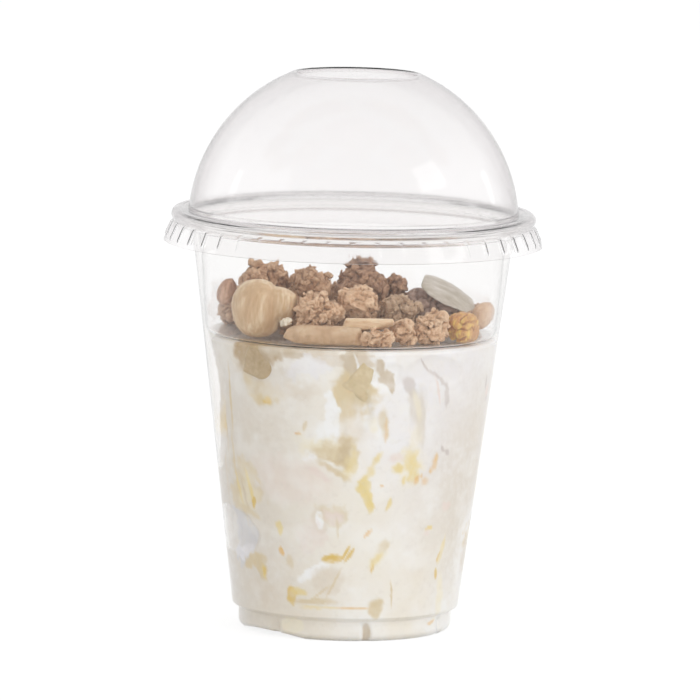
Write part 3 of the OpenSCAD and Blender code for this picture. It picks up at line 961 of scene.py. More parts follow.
@dataclass
class DomeLid:
    """The clear dome with its round hole, bead and ribbed skirt, in millimetres."""

    finish: ClearSheet
    wall: float = 0.45
    seat: float = 112.225
    dome_r: float = 44.31
    dome_z: float = 108.89
    ring_z: float = 149.72
    hole_r: float = 16.0
    ring_w: float = 1.0
    collar_h: float = 1.0
    foot_r: float = 44.19
    foot_h: float = 1.2
    bead_r: float = 1.55
    bead_at: float = 47.24
    bead_z: float = 111.225
    bead_h: float = 0.55
    bead_end: float = 35
    neck_r: float = 48.34
    neck_z: float = 109.64
    skirt_r: float = 50.44
    skirt_z: float = 104.94
    edge_r: float = 50.73
    edge_z: float = 104.14
    ring_bend: float = 0.5
    moat_bend: float = 0.4
    neck_bend: float = 0.3
    edge_bend: float = 0.25
    dome_step: float = 2.0
    bead_inner: float = 2.0
    bead_crown: float = 1.0
    skirt_top: float = 0.1
    skirt_low: float = 0.97
    skirt_row: float = 0.45
    sheet_reach: float = 0.3
    ribs: Ribs = field(default_factory=Ribs)

    def path(self) -> SheetPath:
        """The sheet from the collar round the hole to the skirt's edge."""
        ring = self.hole_r + self.wall / 2
        start = math.degrees(math.acos((ring + self.ring_w) / self.dome_r))
        low = self.foot_h + self.seat - self.dome_z
        end = math.degrees(math.asin(low / self.dome_r))
        turn = math.radians(self.bead_end)
        bead_low = (
            self.bead_at + self.bead_r * math.cos(turn),
            self.bead_z - self.bead_r * math.sin(turn),
        )
        collar = SheetPath.rounded(
            [
                (ring, self.ring_z - self.collar_h, 0),
                (ring, self.ring_z, self.ring_bend),
                (ring + self.ring_w, self.ring_z, 0),
            ]
        )
        dome = SheetPath.arc((0, self.dome_z), self.dome_r, start, end, self.dome_step)
        moat = SheetPath.rounded(
            [
                (self.foot_r, self.seat + self.foot_h, 0),
                (self.foot_r, self.seat, self.moat_bend),
                (self.bead_at - self.bead_inner, self.seat, self.moat_bend),
                (self.bead_at - self.bead_crown, self.seat + self.bead_h, self.moat_bend),
                (self.bead_at, self.seat + self.bead_h, 0),
            ]
        )
        bead = SheetPath.arc((self.bead_at, self.bead_z), self.bead_r, 90, -self.bead_end, 12)
        skirt_top = self._skirt(self.skirt_top)
        skirt_low = self._skirt(self.skirt_low)
        upper = SheetPath.rounded(
            [(*bead_low, 0), (self.neck_r, self.neck_z, self.neck_bend), skirt_top]
        )
        lower = SheetPath([skirt_top[:2], skirt_low[:2]]).evened(self.skirt_row)
        edge = SheetPath.rounded(
            [
                skirt_low,
                (self.skirt_r, self.skirt_z, self.edge_bend),
                (self.edge_r, self.edge_z, 0),
            ]
        )
        whole = collar.then(dome).then(moat).then(bead)
        return whole.then(upper).then(lower).then(edge)

    def _skirt(self, share: float) -> tuple[float, float, float]:
        """The point at a share of the way down the skirt, with no bend."""
        return (
            self.neck_r + (self.skirt_r - self.neck_r) * share,
            self.neck_z + (self.skirt_z - self.neck_z) * share,
            0,
        )

    def raise_ribs(self, piece: bpy.types.Object) -> None:
        """Pushes the skirt's sheet out along each rib."""
        places = corners(piece) / MM
        radius = np.hypot(places[:, 0], places[:, 1])
        angle = np.arctan2(places[:, 1], places[:, 0])
        out = self.skirt_r - self.neck_r
        down = self.neck_z - self.skirt_z
        slope = math.hypot(out, down)
        along = ((radius - self.neck_r) * out + (self.neck_z - places[:, 2]) * down) / slope
        off = ((radius - self.neck_r) * down - (self.neck_z - places[:, 2]) * out) / slope
        on_skirt = (np.abs(off) < self.sheet_reach) & (along > 0) & (along < slope)
        pitch = FULL_TURN / self.ribs.count
        aside = ((angle + pitch / 2) % pitch - pitch / 2) * radius
        across = np.sqrt(np.clip(1 - (aside / self.ribs.half_width) ** 2, 0, 1))
        start = (slope - self.ribs.length) / 2
        ends = np.minimum(along - start, start + self.ribs.length - along)
        ends = np.clip(ends / self.ribs.run_out, 0, 1)
        push = np.where(on_skirt, self.ribs.height * across * np.sqrt(ends), 0)
        factor = (radius + push * down / slope) / np.maximum(radius, 1e-6)
        places[:, 0] *= factor
        places[:, 1] *= factor
        places[:, 2] += push * out / slope
        put_corners(piece, places * MM)

    def build(self) -> bpy.types.Object:
        """Models the lid."""
        piece = self.path().turned("dome_sheet", self.ribs.columns)
        shift_columns(piece, self.ribs.columns, self.ribs.angles(self.neck_r + 1))
        self.raise_ribs(piece)
        thicken(piece, self.wall, self.finish)
        return dress(piece, "lid", ["dome_lid"], sharp=50)


# The filling


class Tone(Enum):
    """Colours that fruit and air leave in the cream. SHADE, PEARL, COOL and LILAC are also used as
    painted shade, over broad fields toward the sides and in a hollow.
    """

    WHITE = (251, 250, 248)
    COOL = (241, 239, 242)
    IVORY = (243, 237, 225)
    CREAMY = (244, 236, 214)
    PEARL = (225, 216, 202)
    BEIGE = (224, 211, 192)
    SHADE = (216, 208, 197)
    TAN = (208, 191, 165)
    OLIVE = (188, 161, 120)
    SAND = (222, 204, 166)
    YELLOW = (236, 216, 150)
    GOLD = (226, 194, 104)
    AMBER = (232, 192, 122)
    PINK = (237, 221, 212)
    LILAC = (218, 216, 217)
    GREY = (208, 198, 192)


@dataclass(frozen=True)
class Mark:
    """A mark on the cream at the wall.

    Fields are its angle from the front toward +x in degrees, its height, half width and half
    height in millimetres, its turn in degrees, its tone, its strength and how soft its edge is.
    """

    angle: float
    height: float
    half_w: float
    half_h: float
    turn: float
    tone: Tone
    strength: float = 0.8
    soft: float = 0.5
    ragged: float = 1.0


FRONT_MARKS = (
    # Broad fields of tone: the ivory and beige ones are the cream's own warmth, and the SHADE,
    # PEARL and COOL ones are painted shade, darker toward the left and right edges and a lilac
    # grey at the upper right
    Mark(-80, 45, 20, 48, 0, Tone.SHADE, 0.85, 0.6, 0.4),
    Mark(-38, 44, 17, 36, 0, Tone.PEARL, 0.8, 0.6, 0.5),
    Mark(-8, 36, 13, 40, 0, Tone.IVORY, 0.7, 0.7, 0.5),
    Mark(-30, 10, 16, 12, 0, Tone.BEIGE, 0.25, 0.7, 0.6),
    Mark(30, 22, 20, 22, 0, Tone.IVORY, 0.5, 0.7, 0.6),
    Mark(50, 64, 24, 28, 0, Tone.COOL, 0.85, 0.7, 0.5),
    Mark(74, 42, 22, 30, 0, Tone.PEARL, 0.85, 0.7, 0.5),
    # Under the tray at the left
    Mark(-42.5, 74.4, 6.0, 6.4, 0, Tone.TAN, 0.9, 0.45, 1.2),
    Mark(-45, 77.2, 4.4, 4.0, 0, Tone.OLIVE, 1.0, 0.22, 0.7),
    Mark(-36, 78.4, 5.2, 3.2, -12, Tone.OLIVE, 0.95, 0.25, 0.8),
    Mark(-42, 73.0, 3.6, 2.6, 0, Tone.TAN, 0.8, 0.4),
    Mark(-24, 78.9, 12, 1.7, 2, Tone.TAN, 0.95, 0.3, 0.7),
    Mark(-9, 77.6, 5, 1.9, -8, Tone.BEIGE, 0.9, 0.4, 0.9),
    Mark(-37, 67.6, 6.6, 2.6, -6, Tone.SAND, 0.6, 0.5),
    Mark(-38, 65.2, 5.0, 1.3, -6, Tone.SAND, 0.95, 0.35),
    Mark(-35.6, 64.8, 1.5, 0.8, -10, Tone.GOLD, 0.9, 0.3),
    Mark(-25, 68.4, 8, 2.2, -4, Tone.BEIGE, 0.55, 0.5),
    Mark(-29, 71.8, 5.4, 3.0, 10, Tone.PEARL, 0.9, 0.22, 1.2),
    Mark(-17, 74.6, 6.0, 3.0, 8, Tone.COOL, 0.6, 0.22, 1.3),
    Mark(-46, 71.0, 1.6, 3.6, 0, Tone.SAND, 0.6, 0.4),
    Mark(-57.6, 64, 0.45, 9, -3, Tone.SAND, 0.9, 0.35, 0.5),
    Mark(-63, 57, 0.5, 12, -2, Tone.BEIGE, 0.8, 0.4, 0.5),
    Mark(-68, 50, 0.7, 16, 0, Tone.BEIGE, 0.7, 0.4, 0.5),
    Mark(-59, 47, 0.5, 8, 3, Tone.SAND, 0.7, 0.4, 0.5),
    # Down the middle
    Mark(3.4, 70.6, 5.6, 6.4, 0, Tone.SAND, 0.95, 0.4, 1.2),
    Mark(1.4, 77.0, 4.4, 3.6, 0, Tone.TAN, 0.95, 0.2, 1.2),
    Mark(6.0, 76.6, 1.8, 2.6, 24, Tone.BEIGE, 0.9, 0.25),
    Mark(0.8, 70.4, 4.2, 4.2, -12, Tone.SAND, 1.0, 0.35),
    Mark(1.6, 70.6, 2.6, 2.0, 0, Tone.AMBER, 0.6, 0.6),
    Mark(0.4, 64.6, 3.6, 4.6, 0, Tone.SAND, 0.75, 0.5),
    Mark(2.2, 57.6, 3.0, 5.0, 6, Tone.BEIGE, 0.5, 0.6),
    Mark(3.4, 75.6, 0.35, 3.4, 22, Tone.WHITE, 0.8, 0.3),
    Mark(-6.8, 62.2, 2.3, 6.2, 5, Tone.WHITE, 1.0, 0.14, 0.7),
    Mark(-9.6, 57.2, 2.6, 2.6, 0, Tone.WHITE, 0.7, 0.4),
    # The swirl
    Mark(-21.5, 56.6, 0.9, 0.45, -6, Tone.AMBER, 1.0, 0.25, 0.6),
    Mark(-18.3, 58.8, 0.6, 1.4, -20, Tone.SAND, 0.8, 0.35),
    Mark(-10.4, 53.0, 6.2, 2.4, -22, Tone.CREAMY, 0.95, 0.5, 1.3),
    Mark(-15.8, 50.6, 2.2, 1.9, -40, Tone.WHITE, 0.8, 0.4),
    Mark(-7.2, 50.8, 5.2, 2.6, -28, Tone.SAND, 0.8, 0.5, 1.4),
    Mark(-1.8, 51.4, 4.0, 3.6, 10, Tone.SAND, 1.0, 0.45, 1.2),
    Mark(-1.4, 51.6, 3.0, 2.5, 0, Tone.OLIVE, 0.4, 0.7),
    Mark(2.2, 52.0, 1.2, 2.6, -20, Tone.CREAMY, 0.5, 0.6),
    Mark(-6.4, 48.6, 2.9, 0.6, -24, Tone.WHITE, 0.7, 0.5),
    Mark(-6.0, 46.9, 4.4, 0.8, -28, Tone.SAND, 0.95, 0.5),
    Mark(1.0, 49.0, 1.8, 3.2, -16, Tone.YELLOW, 0.7, 0.5),
    Mark(-13, 45.6, 3.4, 1.0, -30, Tone.PINK, 0.8, 0.5),
    # The right of the middle
    Mark(13.6, 73.2, 3.5, 5.2, -16, Tone.WHITE, 1.0, 0.2, 0.8),
    Mark(11.7, 75.6, 1.2, 2.2, 8, Tone.TAN, 0.9, 0.16, 0.6),
    Mark(14.4, 72.6, 2.0, 2.2, -30, Tone.TAN, 0.9, 0.16, 0.8),
    Mark(16.8, 70.4, 0.9, 2.0, 4, Tone.TAN, 0.95, 0.16, 0.8),
    Mark(25.2, 69.6, 1.8, 3.6, 26, Tone.GREY, 0.75, 0.25, 0.8),
    Mark(27.4, 64.2, 1.7, 5.0, 22, Tone.PEARL, 0.7, 0.4, 0.6),
    Mark(31.4, 61.0, 1.1, 7.4, 6, Tone.PEARL, 0.8, 0.4, 0.6),
    # Painted highlight along the inside of the crescent
    Mark(29.0, 64.6, 1.0, 4.6, 18, Tone.CREAMY, 0.7, 0.4, 0.6),
    Mark(29.4, 56.0, 1.4, 3.4, -10, Tone.CREAMY, 0.6, 0.5, 0.6),
    Mark(30.6, 75.6, 0.3, 2.4, 40, Tone.GREY, 0.85, 0.3, 0.6),
    Mark(35.0, 73.4, 2.4, 0.4, -20, Tone.GREY, 0.6, 0.4),
    Mark(39.6, 71.4, 0.5, 3.0, 46, Tone.GREY, 0.7, 0.35),
    Mark(43.4, 67.0, 0.7, 3.6, 10, Tone.GREY, 0.7, 0.35),
    Mark(38.4, 68.4, 0.4, 3.8, 16, Tone.PINK, 0.8, 0.4),
    Mark(14.8, 60.6, 1.3, 4.0, 4, Tone.SAND, 0.7, 0.45),
    Mark(15.6, 58.6, 0.5, 3.2, 0, Tone.AMBER, 0.5, 0.4),
    Mark(10.2, 60.4, 1.2, 2.4, -10, Tone.CREAMY, 0.8, 0.5),
    Mark(44.6, 52.6, 1.3, 0.4, -44, Tone.GREY, 0.95, 0.25, 0.8),
    Mark(47.4, 51.2, 1.0, 0.7, -50, Tone.GREY, 0.95, 0.25, 0.8),
    Mark(72.6, 68.4, 0.5, 2.2, 8, Tone.GREY, 0.8, 0.3),
    Mark(75.4, 66.0, 1.2, 1.6, 0, Tone.PINK, 0.9, 0.4),
    Mark(76.0, 64.2, 0.5, 1.0, -40, Tone.GREY, 0.9, 0.3),
    Mark(28.0, 48.6, 3.2, 4.4, 4, Tone.CREAMY, 0.8, 0.7, 1.1),
    Mark(22.4, 47.6, 1.7, 1.1, 8, Tone.YELLOW, 0.9, 0.5, 1.1),
    Mark(21.4, 50.8, 1.9, 1.5, 0, Tone.PINK, 0.7, 0.5, 1.1),
    Mark(27.2, 50.4, 1.5, 3.4, 8, Tone.YELLOW, 0.7, 0.7, 1.3),
    Mark(30.2, 46.4, 1.4, 3.0, 4, Tone.YELLOW, 0.75, 0.6, 1.3),
    Mark(29.4, 50.2, 0.7, 2.6, -12, Tone.YELLOW, 0.6, 0.6, 1.3),
    Mark(31.6, 44.2, 0.6, 1.3, -20, Tone.AMBER, 0.8, 0.5),
    Mark(25.6, 44.6, 0.5, 1.2, -10, Tone.YELLOW, 0.8, 0.5),
    Mark(40.6, 48.8, 1.1, 2.4, -16, Tone.AMBER, 0.6, 0.6, 1.2),
    Mark(41.8, 50.6, 0.6, 1.2, -10, Tone.AMBER, 0.7, 0.5),
    Mark(38.4, 46.4, 0.5, 0.6, 0, Tone.AMBER, 0.7, 0.5),
    Mark(12.6, 50.4, 0.6, 2.0, -34, Tone.YELLOW, 0.8, 0.5),
    Mark(10.0, 46.8, 1.0, 1.9, -24, Tone.YELLOW, 0.7, 0.5),
    Mark(35.6, 43.4, 1.0, 0.9, 20, Tone.AMBER, 0.5, 0.7),
    Mark(34.0, 45.0, 0.5, 0.7, 0, Tone.AMBER, 0.7, 0.5),
    # Lower middle
    Mark(8.2, 42.8, 1.9, 3.0, 0, Tone.YELLOW, 1.0, 0.2, 0.8),
    Mark(9.6, 39.2, 1.3, 3.2, 16, Tone.YELLOW, 1.0, 0.2, 0.8),
    Mark(15.4, 43.0, 0.5, 0.5, 0, Tone.AMBER, 0.9, 0.3, 0.5),
    Mark(19.0, 37.8, 0.6, 1.9, -22, Tone.YELLOW, 0.9, 0.3, 0.8),
    Mark(10.0, 30.2, 1.6, 0.5, 44, Tone.AMBER, 0.9, 0.25, 0.8),
    Mark(1.4, 24.2, 0.5, 2.4, -28, Tone.GOLD, 0.95, 0.22, 0.6),
    Mark(17.2, 25.8, 1.2, 2.1, -20, Tone.SAND, 0.85, 0.45, 0.9),
    Mark(15.2, 22.8, 1.5, 2.8, -34, Tone.CREAMY, 0.85, 0.5, 0.9),
    Mark(14.6, 22.6, 0.8, 2.2, -38, Tone.YELLOW, 0.7, 0.5, 0.9),
    Mark(13.0, 20.4, 0.4, 1.2, -24, Tone.GOLD, 0.9, 0.3),
    Mark(41.2, 30.6, 1.3, 0.6, 12, Tone.YELLOW, 1.0, 0.2, 0.5),
    Mark(40.4, 29.4, 0.9, 0.8, 0, Tone.PINK, 0.6, 0.5),
    Mark(51.6, 24.4, 0.8, 3.4, -16, Tone.YELLOW, 0.75, 0.35, 0.7),
    Mark(49.6, 22.6, 0.4, 1.3, -18, Tone.GOLD, 0.95, 0.25),
    Mark(49.4, 18.0, 0.6, 1.6, 10, Tone.GOLD, 0.95, 0.22, 0.6),
    Mark(54.6, 11.6, 1.4, 6.0, 8, Tone.CREAMY, 0.85, 0.4, 0.6),
    Mark(51.4, 36.6, 1.6, 1.2, 0, Tone.PINK, 0.8, 0.5),
    Mark(23.4, 13.2, 0.3, 3.6, 6, Tone.SAND, 0.85, 0.3, 0.7),
    Mark(16.2, 9.6, 1.9, 2.7, 0, Tone.SAND, 0.95, 0.25, 0.5),
    Mark(4.4, 9.5, 4.0, 0.35, 0, Tone.AMBER, 0.9, 0.4, 0.5),
    Mark(54.6, 3.9, 1.6, 0.5, 14, Tone.AMBER, 0.7, 0.4),
    Mark(11.8, 2.4, 1.3, 2.6, 0, Tone.TAN, 0.9, 0.25, 0.4),
    Mark(9.0, 2.6, 0.5, 2.2, 0, Tone.WHITE, 0.8, 0.4, 0.4),
    # Lower left
    Mark(-26, 44, 11, 6.0, -6, Tone.PINK, 0.45, 0.5),
    Mark(-50, 45.4, 4.2, 2.0, -20, Tone.SAND, 0.85, 0.4, 1.3),
    Mark(-44.6, 43.8, 2.4, 1.1, -30, Tone.SAND, 0.85, 0.4, 1.2),
    Mark(-54, 38.8, 6.6, 6.4, 12, Tone.SAND, 0.7, 0.2, 1.4),
    Mark(-50, 37.4, 3.2, 4.6, 8, Tone.CREAMY, 0.5, 0.5, 1.2),
    Mark(-49, 40.4, 0.7, 4.8, 12, Tone.YELLOW, 0.9, 0.3, 0.8),
    Mark(-57, 40.0, 0.5, 4.4, 18, Tone.YELLOW, 0.7, 0.4, 0.8),
    Mark(-53, 38.0, 0.4, 4.0, 16, Tone.TAN, 0.5, 0.4, 0.8),
    Mark(-46.8, 36.4, 0.8, 1.6, 0, Tone.GOLD, 1.0, 0.22, 0.6),
    # Painted shade: lilac grey where the cream stands off the wall in the hollows at the lower
    # left
    Mark(-62, 26.2, 7.6, 6.4, 8, Tone.LILAC, 1.0, 0.08, 1.5),
    Mark(-60, 22.4, 5.6, 1.6, 6, Tone.COOL, 0.8, 0.3, 1.2),
    Mark(-50, 33.6, 4.0, 0.8, -20, Tone.SAND, 0.6, 0.4),
    Mark(-49.0, 20.2, 4.8, 1.9, 12, Tone.SAND, 0.95, 0.25, 1.1),
    Mark(-44.6, 17.8, 2.1, 2.9, 12, Tone.SAND, 0.95, 0.22, 1.0),
    Mark(-43.4, 17.6, 0.9, 1.9, 12, Tone.YELLOW, 0.8, 0.4, 0.8),
    Mark(-43.2, 17.8, 0.8, 1.2, 12, Tone.GOLD, 0.6, 0.4),
    Mark(-32.8, 30.4, 1.1, 1.8, 10, Tone.YELLOW, 0.95, 0.25, 0.8),
    Mark(-31.8, 24.0, 0.7, 1.1, 26, Tone.AMBER, 1.0, 0.22, 0.6),
    Mark(-27.6, 21.6, 1.0, 1.6, 10, Tone.SAND, 0.6, 0.5),
    Mark(-12.8, 33.2, 2.3, 3.7, 4, Tone.BEIGE, 0.6, 0.14, 0.6),
    Mark(-12.6, 33.4, 1.1, 2.5, 4, Tone.WHITE, 1.0, 0.14, 0.4),
    Mark(-7.2, 35.6, 3.4, 3.2, 20, Tone.SAND, 0.55, 0.3, 1.2),
    Mark(-7.6, 35.0, 2.2, 1.9, 20, Tone.PINK, 0.8, 0.35, 1.2),
    Mark(-4.6, 31.6, 0.4, 2.8, 6, Tone.SAND, 0.6, 0.35),
    Mark(-17, 28.6, 3.0, 3.6, 0, Tone.PINK, 0.5, 0.5, 1.4),
    Mark(-6.2, 23.0, 2.9, 1.3, 6, Tone.GOLD, 1.0, 0.14, 0.4),
    Mark(-0.4, 24.6, 0.4, 2.5, -26, Tone.GOLD, 0.95, 0.25, 0.6),
    Mark(-15.4, 19.2, 5.2, 1.3, 30, Tone.WHITE, 1.0, 0.28, 0.8),
    Mark(-9.4, 16.4, 4.2, 3.6, 34, Tone.BEIGE, 0.55, 0.3, 0.8),
    Mark(-5.8, 16.2, 0.3, 4.2, -26, Tone.SAND, 0.8, 0.35, 0.7),
    Mark(-12.4, 13.4, 0.3, 3.0, -50, Tone.SAND, 0.7, 0.35, 0.7),
    Mark(-27.8, 12.4, 1.8, 2.3, -24, Tone.GOLD, 0.85, 0.22, 0.9),
    Mark(-23.6, 13.4, 2.4, 1.0, 6, Tone.YELLOW, 0.8, 0.35),
    Mark(-15.6, 11.0, 5.8, 0.8, 3, Tone.SAND, 0.8, 0.4, 0.8),
    Mark(-13.0, 9.4, 5.0, 0.5, 2, Tone.YELLOW, 0.6, 0.4, 0.8),
    Mark(-30, 3.6, 3.4, 2.6, 0, Tone.CREAMY, 0.8, 0.14, 0.3),
    Mark(-47, 11.6, 5.0, 3.4, 0, Tone.BEIGE, 0.5, 0.5, 1.3),
)


@dataclass(frozen=True)
class Hollow:
    """A hollow that the cream leaves at the wall.

    Fields are its angle from the front toward +x in degrees, and its height, depth, half width
    and half height in millimetres.
    """

    angle: float
    height: float
    depth: float
    half_w: float
    half_h: float


HOLLOWS = (
    Hollow(-84, 63, 4.6, 15, 20),
    Hollow(-76, 27.5, 2.2, 8, 6.4),
    Hollow(-56, 27.3, 1.7, 7, 5.6),
    Hollow(-42, 75.5, 0.7, 8, 5),
    Hollow(2, 73, 0.5, 8, 7),
    Hollow(5, 63, 0.7, 3.6, 6),
    Hollow(16, 73, 0.6, 4, 4.6),
    Hollow(30, 63, 0.6, 3, 9),
    Hollow(34, 74, 0.5, 11, 5),
    Hollow(150, 60, 2.4, 14, 16),
    Hollow(100, 30, 1.8, 10, 8),
)


@dataclass
class Cream:
    """The cream that fills the cup, in millimetres."""

    cup: Cup
    finish: CreamFinish
    top: float = 79.5
    per_lobe: tuple[int, ...] = (96, 60, 34, 34, 34, 96, 96)
    lip_bend: float = 1.0
    row: float = 0.55
    base_row: float = 3.0
    base_end: float = 25.0
    top_row: float = 4.0
    top_end: float = 2.0
    side_end: float = 1.2
    overlap: float = 0.08
    marks: tuple[Mark, ...] = FRONT_MARKS
    back_marks: int = 46
    back_small: float = 0.6
    back_sizes: tuple[Point, Point] = ((3, 8), (0.7, 2.4))
    back_angles: Point = (80, 270)
    back_heights: Point = (8, 76)
    hollows: tuple[Hollow, ...] = HOLLOWS
    hollow_radii: Point = (20, 28)
    hollow_heights: Point = (8, 12)
    seed: int = 11

    def all_marks(self) -> list[Mark]:
        """The marks in front, and others like them round the back."""
        chance = random.Random(self.seed)
        tones = (Tone.YELLOW, Tone.GOLD, Tone.SAND, Tone.BEIGE, Tone.TAN, Tone.WHITE, Tone.PINK)
        back = []
        for _ in range(self.back_marks):
            small = chance.random() < self.back_small
            size = chance.uniform(*self.back_sizes[small])
            back.append(
                Mark(
                    chance.uniform(*self.back_angles),
                    chance.uniform(*self.back_heights),
                    size,
                    size * chance.uniform(0.5, 1.8),
                    chance.uniform(-50, 50),
                    chance.choice(tones[:2]) if small else chance.choice(tones),
                    chance.uniform(0.5, 0.9),
                    0.45,
                    1.4,
                )
            )
        return list(self.marks) + back

    def tone_at(self, places: np.ndarray) -> np.ndarray:
        """The colour at each place, in linear red, green and blue.

        Args:
            places: points in millimetres.

        Returns:
            One colour for each point.
        """
        angle = np.degrees(np.arctan2(places[:, 0], -places[:, 1]))
        z = places[:, 2]
        radius = np.maximum(np.hypot(places[:, 0], places[:, 1]), 1)
        warp = drifts(places, 0.14)
        fine = drifts(places, 0.55, (7, 3, 5))
        grain = drifts(places, 1.3, (1, 8, 2))
        broad = np.array([noise.fractal(Vector(p) * 0.06, 1.0, 2.0, 3) for p in places])
        white = np.array(paint(*Tone.WHITE.value)[:3])
        ivory = np.array(paint(*Tone.IVORY.value)[:3])
        share = np.clip(0.5 + 1.1 * broad, 0, 1)[:, None]
        colour = white * (1 - share) + ivory * share
        at_wall = np.clip(1.4 - (self.cup.inside_r(z) - radius) / 5, 0, 1)
        for mark in self.all_marks():
            turn = (angle - mark.angle + 180) % 360 - 180
            across = np.radians(turn) * radius
            up = z - mark.height
            size = min(mark.half_w, mark.half_h)
            drift = mark.ragged * min(1.6, 0.16 + 0.35 * size)
            across = across + drift * (1.8 * warp[:, 0] + 1.2 * fine[:, 0] + 0.5 * grain[:, 0])
            up = up + drift * (1.8 * warp[:, 1] + 1.2 * fine[:, 1] + 0.5 * grain[:, 1])
            a = math.radians(mark.turn)
            u = (across * math.cos(a) + up * math.sin(a)) / mark.half_w
            v = (-across * math.sin(a) + up * math.cos(a)) / mark.half_h
            off = np.sqrt(u * u + v * v)
            edge = np.clip((1 + mark.soft - off) / (2 * mark.soft), 0, 1)
            mask = edge * edge * (3 - 2 * edge) * mark.strength * at_wall
            mask = mask * np.clip(0.92 + 0.3 * fine[:, 2] + 0.35 * mark.soft * grain[:, 2], 0, 1)
            target = np.array(paint(*mark.tone.value)[:3])
            colour = colour * (1 - mask[:, None]) + target * mask[:, None]
        return colour

    def depth_at(self, places: np.ndarray) -> np.ndarray:
        """How far the cream stands off the wall at each place, in millimetres."""
        angle = np.degrees(np.arctan2(places[:, 0], -places[:, 1]))
        radius = np.maximum(np.hypot(places[:, 0], places[:, 1]), 1)
        warp = drifts(places, 0.11, (2, 9, 4))
        depth = np.zeros(len(places))
        for hollow in self.hollows:
            turn = (angle - hollow.angle + 180) % 360 - 180
            u = (np.radians(turn) * radius + 2.4 * warp[:, 0]) / hollow.half_w
            v = (places[:, 2] - hollow.height + 2.4 * warp[:, 1]) / hollow.half_h
            inside = np.clip(1 - (u * u + v * v), 0, 1)
            depth = np.maximum(depth, hollow.depth * np.minimum(1, 1.6 * inside))
        return depth

    def build(self) -> bpy.types.Object:
        """Models the cream and paints its tone."""
        cup = self.cup
        inset = cup.wall / 2 - self.overlap
        rim = cup.middle_r(self.top) - inset / math.cos(cup.lean)
        side = cup.wall_path(self.top - self.side_end).beside(inset)
        top = SheetPath.rounded(
            [
                (side.points[-1].x, side.points[-1].y, 0),
                (rim, self.top, self.lip_bend),
                (rim - self.top_end, self.top, 0),
                (0, self.top, 0),
            ]
        )
        rows = side.evened(self.row, self.base_end, self.base_row)
        path = rows.then(top.evened(self.row, rim - 0.75 * self.top_end, self.top_row))
        columns = sum(self.per_lobe)
        piece = path.turned("cream_body", columns)
        shift_columns(piece, columns, cup.foot.angles(self.per_lobe))
        cup.foot.press(piece, cup.wall - self.overlap)
        places = corners(piece) / MM
        radius = np.hypot(places[:, 0], places[:, 1])
        depth = self.depth_at(places) * ramp(radius, *self.hollow_radii)
        depth *= ramp(places[:, 2], *self.hollow_heights)
        factor = (radius - depth) / np.maximum(radius, 1e-6)
        tone = self.tone_at(places)
        places[:, 0] *= factor
        places[:, 1] *= factor
        put_corners(piece, places * MM)
        made = piece.data.attributes.new("tone", "FLOAT_COLOR", "POINT")
        rgba = np.ones((len(places), 4), np.float32)
        rgba[:, :3] = tone
        made.data.foreach_set("color", rgba.ravel())
        return dress(piece, "cup", ["cream"], self.finish.material())


@dataclass
class Peach:
    """The soft pieces of peach in the cream."""

    finishes: dict[int, FoodFinish]
    count: int = 10
    cell: float = 0.5
    rounds: int = 24
    worn: float = 0.9

    def wear(self, piece: bpy.types.Object, seed: int) -> None:
        """Softens the outline of a piece of peach along the cup's wall."""
        places = corners(piece)
        radius = np.hypot(places[:, 0], places[:, 1])
        places += self.worn * drifts(places / MM, 0.3, (seed * 2.3, seed * 1.1, 4.0)) * MM
        now = np.hypot(places[:, 0], places[:, 1])
        factor = np.minimum(now, radius) / np.maximum(now, 1e-9)
        places[:, 0] *= factor
        places[:, 1] *= factor
        put_corners(piece, places)

    def build(self) -> list[bpy.types.Object]:
        """Models every piece from its CAD solid."""
        looks = {number: finish.material() for number, finish in self.finishes.items()}
        made = []
        for number in range(1, self.count + 1):
            node = f"peach_{number}"
            piece = node_copy(node, f"{node}_flesh")
            remesh(piece, self.cell)
            self.wear(piece, number)
            apply_modifier(piece, "SMOOTH", factor=0.5, iterations=self.rounds)
            note_own(piece, Vector((0.3, 0.2, 1)), number)
            note_hollows(piece, 0.2)
            made.append(dress(piece, "cup", [node], looks.get(number, looks[0])))
        return made


# The toppings


class Kind(Enum):
    """How a topping is modelled."""

    CLUSTER = "cluster"
    NUT = "nut"
    ALMOND = "almond"
    RAISIN = "raisin"
    SEED = "seed"
    CHIP = "chip"
    STRIP = "strip"


# The oat flakes and crumbs: name, half length, width and thickness in millimetres, and curl
FLAKES = (
    ("oat_flake", (2.0, 1.4, 0.55), 0.16),
    ("oat_crumb", (1.3, 1.1, 0.95), 0.0),
    ("oat_shard", (2.3, 0.9, 0.7), 0.1),
)

# Clusters that are wider in the picture than their CAD form
WIDER_CLUSTERS = {
    4: (1.16, 1.0, 1.0),
    7: (1.3, 1.1, 1.15),
    8: (1.3, 1.0, 1.1),
    9: (1.12, 1.1, 1.05),
}

# How high a kind's soft relief is, and how many of its waves go into a millimetre
SOFT_RELIEF = {
    Kind.NUT: (0.22, 0.22),
    Kind.ALMOND: (0.22, 0.22),
    Kind.CHIP: (0.22, 0.5),
    Kind.STRIP: (0.08, 0.6),
    Kind.SEED: (0.08, 0.6),
}


@dataclass(frozen=True)
class Topping:
    """One topping: its CAD node, how it is modelled, its material slot, its grain and its look.

    A node that it has grown together with is named as joined. Its size along each axis is
    multiplied by stretch, it is moved by shift, and trim is broken off its -x and +x ends, in
    millimetres.
    """

    node: str
    kind: Kind
    slot: str
    grain: tuple[float, float, float] = (0.2, 0.1, 1.0)
    look: str = ""
    joined: str = ""
    stretch: tuple[float, float, float] = (1.0, 1.0, 1.0)
    shift: tuple[float, float, float] = (0.0, 0.0, 0.0)
    trim: tuple[float, float] = (0.0, 0.0)

    @property
    def nodes(self) -> list[str]:
        """The CAD nodes that it stands for."""
        return [self.node, self.joined] if self.joined else [self.node]


